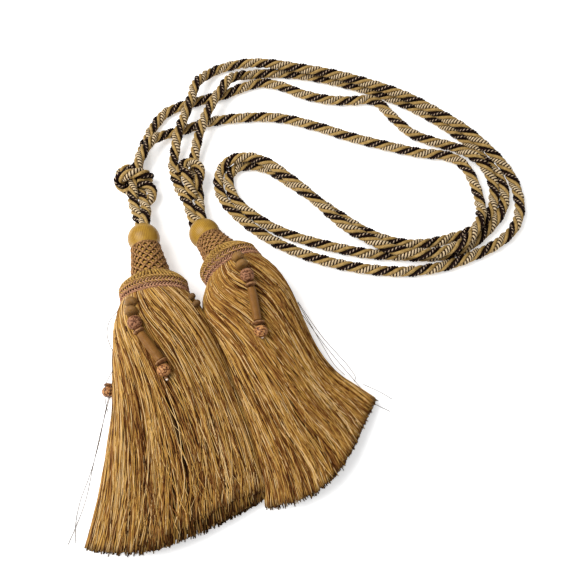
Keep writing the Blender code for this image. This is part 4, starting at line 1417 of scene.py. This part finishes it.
    def skin(self) -> bpy.types.Object:
        """Return the surface that the yarns lie on, each point holding the heart of its section."""
        rings = self.sections()
        skin = sheet_of("skirt_skin", [[place(p) for p in ring] for ring in rings])
        hearts = []
        for ring in rings:
            heart = place(sum(ring, Vector()) / len(ring))
            hearts += [*heart] * len(ring)
        held = skin.data.attributes.new("heart", "FLOAT_VECTOR", "POINT")
        held.data.foreach_set("vector", hearts)
        return skin

    def build(self) -> None:
        """Build the dark core, which is painted shade between the yarns, and the layers of yarn."""
        name = self.side.value
        inner = [[place(p) for p in self.drawn_in(ring)] for ring in self.sections()[:-3]]
        # The core is painted shade, seen between the yarns.
        core = sheet_of(f"core_{name}_skirt", inner, closed=True)
        settle(dressed(core, Finishes.CORE.material), "skirt_yarn", f"{name}_skirt")
        seed = 11 if self.side is Side.LEFT else 47
        common: dict[str, Any] = dict(Sides=3, Floor=0.45 * MM, Sweep=self.sweep)
        top_span = 0.56 + self.sweep
        step_back: dict[str, Any] = dict(Short=self.step_back, Short_At=0.15, Short_Width=0.18)
        yarn, under = Finishes.YARN.material, Finishes.UNDER.material
        layers = {
            "under": dict(
                Threads=1100, Points=12, Thread_Radius=0.50 * MM, Arc_Start=-0.04, Arc_Span=0.58 + self.sweep,
                From=0.0, To=0.985, Ragged=0.03, Sink=0.12, Sink_Power=0.8, Locks=60.0, Lock_Pull=0.4,
                Lock_Lean=0.12, Lock_Sway=0.05, Lock_Sink=0.05, Groove=0.02, Wander=0.06, Cross=0.10,
                Frizz=0.02, Lift=0.0006, Seed=seed, Material=under),
            "outer": dict(
                Threads=1080, Points=18, Thread_Radius=0.31 * MM, Arc_Start=-0.03, Arc_Span=top_span,
                From=0.0, To=0.975, Ragged=0.014, Sink=0.020, Sink_Power=1.5, Locks=110.0, Lock_Pull=0.80,
                Lock_Lean=0.045, Lock_Sway=0.02, Lock_Sink=0.02, Groove=0.10, Wander=0.012, Cross=0.02,
                Frizz=0.008, Lift=0.0003, Lock_Lift=0.0018, Lock_Beats=9.0, Seed=seed, Material=yarn,
                **step_back),
            "single": dict(
                Threads=480, Points=19, Thread_Radius=0.33 * MM, Arc_Start=-0.03, Arc_Span=top_span,
                From=0.0, To=0.975, Ragged=0.014, Sink=0.020, Sink_Power=1.0, Locks=900.0, Wander=0.015,
                Cross=0.20, Frizz=0.026, Lift=0.0023, Seed=seed + 12, Material=yarn, **step_back),
            # The ledge takes only a little painted shade from its depth.
            "ledge": dict(
                Threads=360, Points=6, Thread_Radius=0.40 * MM, Arc_Start=self.sweep - 0.02, Arc_Span=0.36,
                From=0.84, To=0.990, Ragged=0.008, Sink=0.28, Sink_Power=0.35, Locks=60.0, Lock_Pull=0.4,
                Cross=0.10, Frizz=0.010, Deepening=0.4, Seed=seed + 17, Material=under),
            "below": dict(
                Threads=220, Points=10, Thread_Radius=0.50 * MM, Arc_Start=0.54 + self.sweep, Arc_Span=0.42,
                From=0.0, To=0.98, Ragged=0.05, Sink=0.06, Sink_Power=1.4, Locks=30.0, Lock_Pull=0.5,
                Cross=0.03, Frizz=0.008, Seed=seed + 3, Material=under),
            "tufts": dict(
                Threads=1000, Points=4, Thread_Radius=0.42 * MM, Arc_Start=0.0, Arc_Span=1.0, From=0.80,
                To=0.985, Ragged=0.035, Sink=0.95, Sink_Power=0.7, Locks=30.0, Lock_Pull=0.3, Wander=0.06,
                Cross=0.08, Frizz=0.010, Seed=seed + 5, Material=under),
            "loose": dict(
                Threads=34, Points=26, Thread_Radius=0.17 * MM, Arc_Start=0.02, Arc_Span=0.5 + self.sweep,
                From=0.1, To=0.96, Ragged=0.2, Ragged_Top=0.4, Sink=-0.012, Sink_Power=0.3, Cross=0.35,
                Frizz=0.10, Lift=0.0012, Seed=seed + 8, Material=yarn),
        }
        made = {label: self.loom.hanging.grow(self.skin(), f"{label}_{name}_yarn", **common, **sizes)
                for label, sizes in layers.items()}
        for piece, labels in (("inner", ("under", "below", "ledge")),
                              ("outer", ("outer", "single", "tufts", "loose"))):
            yarns = joined(f"{piece}_{name}_yarn", [made[label] for label in labels])
            settle(yarns, "skirt_yarn", f"{name}_skirt")


# Threads that have come away from the skirts: (x, y, height).
STRAYS: list[list[Point]] = [
    [(-92, -48, 20), (-95.5, -70, 16), (-98.5, -92, 11), (-104, -116, 5), (-109.5, -134, 1.2),
     (-110.5, -150, 0.7), (-108.5, -162, 0.7)],
    [(-93, -60, 18), (-98, -84, 12), (-102, -108, 6), (-106, -136, 1.5), (-110.5, -152, 0.7),
     (-114, -163, 0.7)],
    [(-94, 8, 25), (-99.5, -1, 24), (-100.5, -10, 22), (-97, -20, 20), (-93, -27, 20)],
    [(-93, -40, 20), (-98, -50, 16), (-97, -62, 15), (-93, -72, 18)],
    [(48, 14, 30), (57, 2, 24), (67, -10, 17), (78, -20, 9), (88, -30, 4), (93, -40, 6), (91, -46, 13)],
    [(48, 12, 32), (60, -7, 24), (69, -22, 19), (77, -35, 17), (84, -42, 16)],
    [(52, 2, 30), (66, -13, 17), (80, -28, 8), (92, -42, 5), (98, -52, 9)],
    [(98, -48, 12), (112, -52, 5), (121, -56, 1.0)],
    [(96, -58, 12), (110, -63, 5), (119, -66, 1.0)],
]


@dataclass
class StrayYarn:
    """Single threads that have come away from the skirts."""

    loom: Loom
    radius: float = 0.00026

    def build(self) -> None:
        """Lay every stray thread, as one piece."""
        threads = []
        for number, route in enumerate(STRAYS):
            line = [place(p) for p in smooth_line(route, 2.0, 0.6)]
            threads.append(self.loom.ply.grow(
                curve_of(line), f"stray_{number}", Lay_Length=1.0, Helix_Radius=0.0, Ply_Radius=self.radius,
                Step=0.002, Sides=4, Material=Finishes.STRAY.material))
        settle(joined("stray_threads", threads), "skirt_yarn")


# ---------------------------------------------------------------- the drops


class DropShape(Enum):
    """What a piece of a drop is."""

    BEAD = "bead"
    SHADED = "shaded"
    KNOT = "knot"
    BURR = "burr"
    COLLAR = "collar"
    FLANGE = "flange"
    BAR = "bar"
    PEARL = "pearl"


# The pieces of a full drop, in order from the rim: (name, length, radius, shape)
DROP_ORDER: list[tuple[str, float, float, DropShape]] = [
    ("top_bead", 7.0, 4.9, DropShape.BEAD), ("waist_bead", 6.2, 5.2, DropShape.BEAD),
    ("knot_bead", 10.6, 5.3, DropShape.KNOT), ("collar", 2.4, 4.5, DropShape.COLLAR),
    ("bar", 26.2, 3.5, DropShape.BAR), ("flange", 2.4, 5.0, DropShape.FLANGE),
    ("end_bead", 9.2, 5.1, DropShape.BURR), ("seed_pearl", 4.2, 2.2, DropShape.PEARL),
]


# What shows of two more drops: (piece, heading from -Y toward +X in degrees, length, radius, shape)
HIDDEN_PIECES: list[tuple[str, float, float, float, DropShape]] = [
    ("left_side_end_bead", -4, 8.4, 5.0, DropShape.BURR),
    ("left_side_flange", -4, 2.2, 4.4, DropShape.FLANGE),
    ("left_inner_bead", 35, 4.6, 3.0, DropShape.SHADED),
    ("left_inner_bead_low", 35, 5.0, 3.4, DropShape.SHADED),
]


@dataclass(frozen=True)
class Hang:
    """How a drop hangs from its solids, in millimetres.

    Args:
        drop: the drop's name.
        slip: how far its pieces slide down along it.
        pearl_slip: how far its pearl does.
        dips: how far each piece sinks toward the yarn, in the order of DROP_ORDER.
    """

    drop: str
    slip: float
    pearl_slip: float
    dips: tuple[float, ...]


@dataclass
class BeadedDrop:
    """Wound beads and a wound bar hung over a skirt. Sizes in millimetres."""

    hangs: tuple[Hang, ...] = (
        Hang("left_drop", 1.0, 0.6, (4.4, 2.8, 1.0, 1.0, 0.4, 0.8, 1.1, 1.4)),
        Hang("right_drop", 2.0, -2.0, (3.2, 3.2, 1.5, 0.9, 0.0, 0.3, 0.1, 0.6)))
    dip_way: Point = (0.0, 0.53, -1.0)
    bar_turns: int = 44             # turns of thread wound on the bar

    def middle(self, node: str) -> Vector:
        """Return the middle of a solid."""
        low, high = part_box(node)
        return (low + high) / 2

    def stand(self, centre: Vector, along: Vector) -> Matrix:
        """Return the move that stands a turned piece at a place, its own +Z along a direction."""
        side = along.cross(Vector((0, 0, 1))).normalized()
        return Matrix.Translation(centre) @ Matrix((side, along.cross(side), along)).transposed().to_4x4()

    def arc(self, half: float, radius: float, reach: float, count: int,
            fullness: float = 1.0) -> list[tuple[float, float]]:
        """Return a round profile of (station, radius) rows.

        Args:
            half: half of its length in millimetres.
            radius: its radius in millimetres.
            reach: how far it goes from the middle to either side, in degrees.
            count: how many rows it has.
            fullness: under 1 makes it squarer.

        Returns:
            The rows, from the low end to the high one.
        """
        return [(half * math.sin(a), radius * math.cos(a) ** fullness)
                for a in np.radians(np.linspace(-reach, reach, count))]

    def lumpy(self, name: str, length: float, radius: float, finish: Finishes, count: float,
              seed: int) -> bpy.types.Object:
        """Return a bead covered in knots of thread.

        Args:
            name: the object's name.
            length: its length in millimetres.
            radius: its radius in millimetres.
            finish: its finish.
            count: knots round the middle.
            seed: changes the pattern.

        Returns:
            The bead, standing along its own +Z.
        """
        rings, lumps = [], []
        sides, steps = 64, 30
        reach = math.pi * 0.97      # the poles are closed by flat fans
        for i in range(steps):
            t = reach * (i / (steps - 1) - 0.5)
            ring = []
            for k in range(sides):
                a = TAU * k / sides
                way = Vector((math.cos(t) * math.cos(a), math.cos(t) * math.sin(a), 1.2 * math.sin(t)))
                weave = noise.noise(way * count + Vector((seed * 7.3, 1.7, 0.4))) \
                    + 0.6 * noise.noise(way * count * 2.3 + Vector((seed * 3.1, 5.2, 0.9)))
                # lump is low in the grooves between the knots, where the finish paints shade.
                lump = min(1.0, 4.2 * abs(weave)) ** 0.8
                lumps.append(lump)
                r = radius * max(math.cos(t), 0.0) ** 0.75 * (0.90 + 0.13 * lump)
                ring.append(Vector((r * math.cos(a), r * math.sin(a), length / 2 * math.sin(t))) * MM)
            rings.append(ring)
        bead = dressed(sheet_of(name, rings, closed=True), finish.material)
        hold(bead, "lump", lumps + [0.5, 0.5])
        return bead

    def shaped(self, name: str, length: float, radius: float, shape: DropShape,
               seed: int) -> bpy.types.Object:
        """Return one piece of a drop standing along its own +Z."""
        half = length / 2
        if shape is DropShape.KNOT:
            return self.lumpy(name, length, radius, Finishes.PINK, 1.5, seed)
        if shape is DropShape.BURR:
            return self.lumpy(name, length, radius, Finishes.RUST, 1.8, seed)
        if shape is DropShape.BAR:
            profile = []
            for i in range(2 * self.bar_turns + 1):
                t = i / (2 * self.bar_turns)
                swell = radius - 0.75 + 0.75 * math.sin(math.pi * (0.10 + 0.80 * t)) ** 0.6
                profile.append((-half + length * t, swell + (0.08 if i % 2 else -0.06)))
            return dressed(turned(name, profile, 28), Finishes.BAR.material)
        if shape in (DropShape.COLLAR, DropShape.FLANGE):
            wire = 0.95 if shape is DropShape.COLLAR else 0.62
            hoop = [(z, radius - wire + r) for z, r in self.arc(wire, wire, 90, 11)]
            profile = [(-half, radius - 2.1), *hoop, (half, radius - 2.1)]
            return dressed(turned(name, profile, 40), Finishes.RING.material)
        if shape is DropShape.PEARL:
            nub = [(z - half + 0.5, r) for z, r in self.arc(1.0, 1.7, 80, 9)]
            pearl = [(z - 0.1, r) for z, r in self.arc(1.05, 1.05, 86, 15)]
            return joined(name, [dressed(turned(name, pearl, 24), Finishes.PEARL.material),
                                 dressed(turned("nub", nub, 24), Finishes.RING.material)])
        # The shaded finish is the wound bead darkened as painted shade.
        finish = Finishes.SHADED if shape is DropShape.SHADED else Finishes.BEAD
        return dressed(turned(name, self.arc(half, radius, 82, 19, 0.7), 40), finish.material)

    def build(self) -> None:
        """Build both full drops, slid a little down from their solids, and what shows of two more."""
        way = Vector(self.dip_way) * MM
        for seed, hang in enumerate(self.hangs):
            centres = [self.middle(f"{hang.drop}_{label}") + way * dip
                       for (label, *_), dip in zip(DROP_ORDER, hang.dips)]
            for i, (label, length, radius, shape) in enumerate(DROP_ORDER):
                node = f"{hang.drop}_{label}"
                along = (centres[min(i + 1, len(centres) - 1)] - centres[max(i - 1, 0)]).normalized()
                piece = self.shaped(f"dressed_{node}", length, radius, shape, seed)
                slot = {"seed_pearl": "pearl", "knot_bead": "braid_thread"}.get(label, "wound_thread")
                slid = hang.pearl_slip if shape is DropShape.PEARL else hang.slip
                settle(moved(piece, self.stand(centres[i] + along * slid * MM, along)), slot, node)
        for node, heading, length, radius, shape in HIDDEN_PIECES:
            turn = math.radians(heading)
            along = Vector((math.sin(turn), -math.cos(turn), 0.0))
            piece = self.shaped(f"dressed_{node}", length, radius, shape, 3)
            settle(moved(piece, self.stand(self.middle(node), along)), "wound_thread", node)


# ---------------------------------------------------------------- studio


@dataclass(frozen=True)
class Lamp:
    """A square soft light: where it stands and how wide it is, in metres, and its power in watts."""

    name: str
    spot: Point
    size: float
    power: float


@dataclass
class Studio:
    """Pale floor, soft lights and the camera. Sizes in metres and degrees."""

    eye: Point = (0.0467, -0.2379, 0.510)
    tilt: float = 28.0
    lens: float = 42.6
    floor_reach: float = 4.0
    floor_height: float = -0.0002
    daylight: float = 0.40
    aim: Point = (0.03, 0.03, 0.0)
    lamps: tuple[Lamp, ...] = (
        Lamp("key", (-0.50, 0.0, 0.85), 0.7, 11.5), Lamp("fill", (-0.4, -0.7, 0.9), 1.2, 2.5))

    def build(self) -> None:
        """Set up the floor, the lights and the camera."""
        self.floor()
        self.lights()
        self.camera()

    def floor(self) -> None:
        """Lay the floor."""
        far = self.floor_reach
        corners = [(x, y, self.floor_height) for x, y in ((-far, -far), (far, -far), (far, far), (-far, far))]
        mesh = bpy.data.meshes.new("floor")
        mesh.from_pydata(corners, [], [(0, 1, 2, 3)])
        floor = dressed(add_object("floor", mesh), Finishes.PAPER.material)

    def lights(self) -> None:
        """Set the white surroundings and the lamps."""
        world = bpy.data.worlds.new("studio")
        bpy.context.scene.world = world
        world.use_nodes = True
        backdrop = world.node_tree.nodes["Background"]
        backdrop.inputs["Color"].default_value = (1.0, 1.0, 1.0, 1.0)
        backdrop.inputs["Strength"].default_value = self.daylight
        for lamp in self.lamps:
            data = bpy.data.lights.new(lamp.name, "AREA")
            data.energy, data.size = lamp.power, lamp.size
            light = add_object(lamp.name, data)
            light.location = lamp.spot
            light.rotation_euler = (Vector(self.aim) - Vector(lamp.spot)).to_track_quat("-Z", "Y").to_euler()

    def camera(self) -> None:
        """Place the camera."""
        data = bpy.data.cameras.new("camera")
        data.lens = self.lens
        data.clip_start, data.clip_end = 0.01, 20.0
        camera = add_object("camera", data)
        camera.location = self.eye
        camera.rotation_euler = (math.radians(self.tilt), 0.0, 0.0)
        bpy.context.scene.camera = camera
        bpy.context.scene.view_settings.view_transform = "Standard"


def main() -> None:
    """Build every piece of the tieback and its studio."""
    logging.basicConfig(level=logging.INFO, format="%(name)s %(message)s")
    loom = Loom()
    rope = LaidRope(loom)
    Studio().build()
    TiebackCords(rope).build()
    for name in KNOT_RUNS:
        HandKnot(rope, name).build()
    for side, mould in HEADS.items():
        TasselHead(side, mould, loom).build()
        TasselSkirt(side, mould, loom).build()
    StrayYarn(loom).build()
    BeadedDrop().build()
    pieces = [o for o in bpy.data.objects if o.type == "MESH" and "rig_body" in o and "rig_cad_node" not in o]
    total = sum(len(p.vertices) - 2 for o in pieces for p in o.data.polygons)
    LOG.info("the scene adds %d triangles", total)


if __name__ == "__main__":
    main()
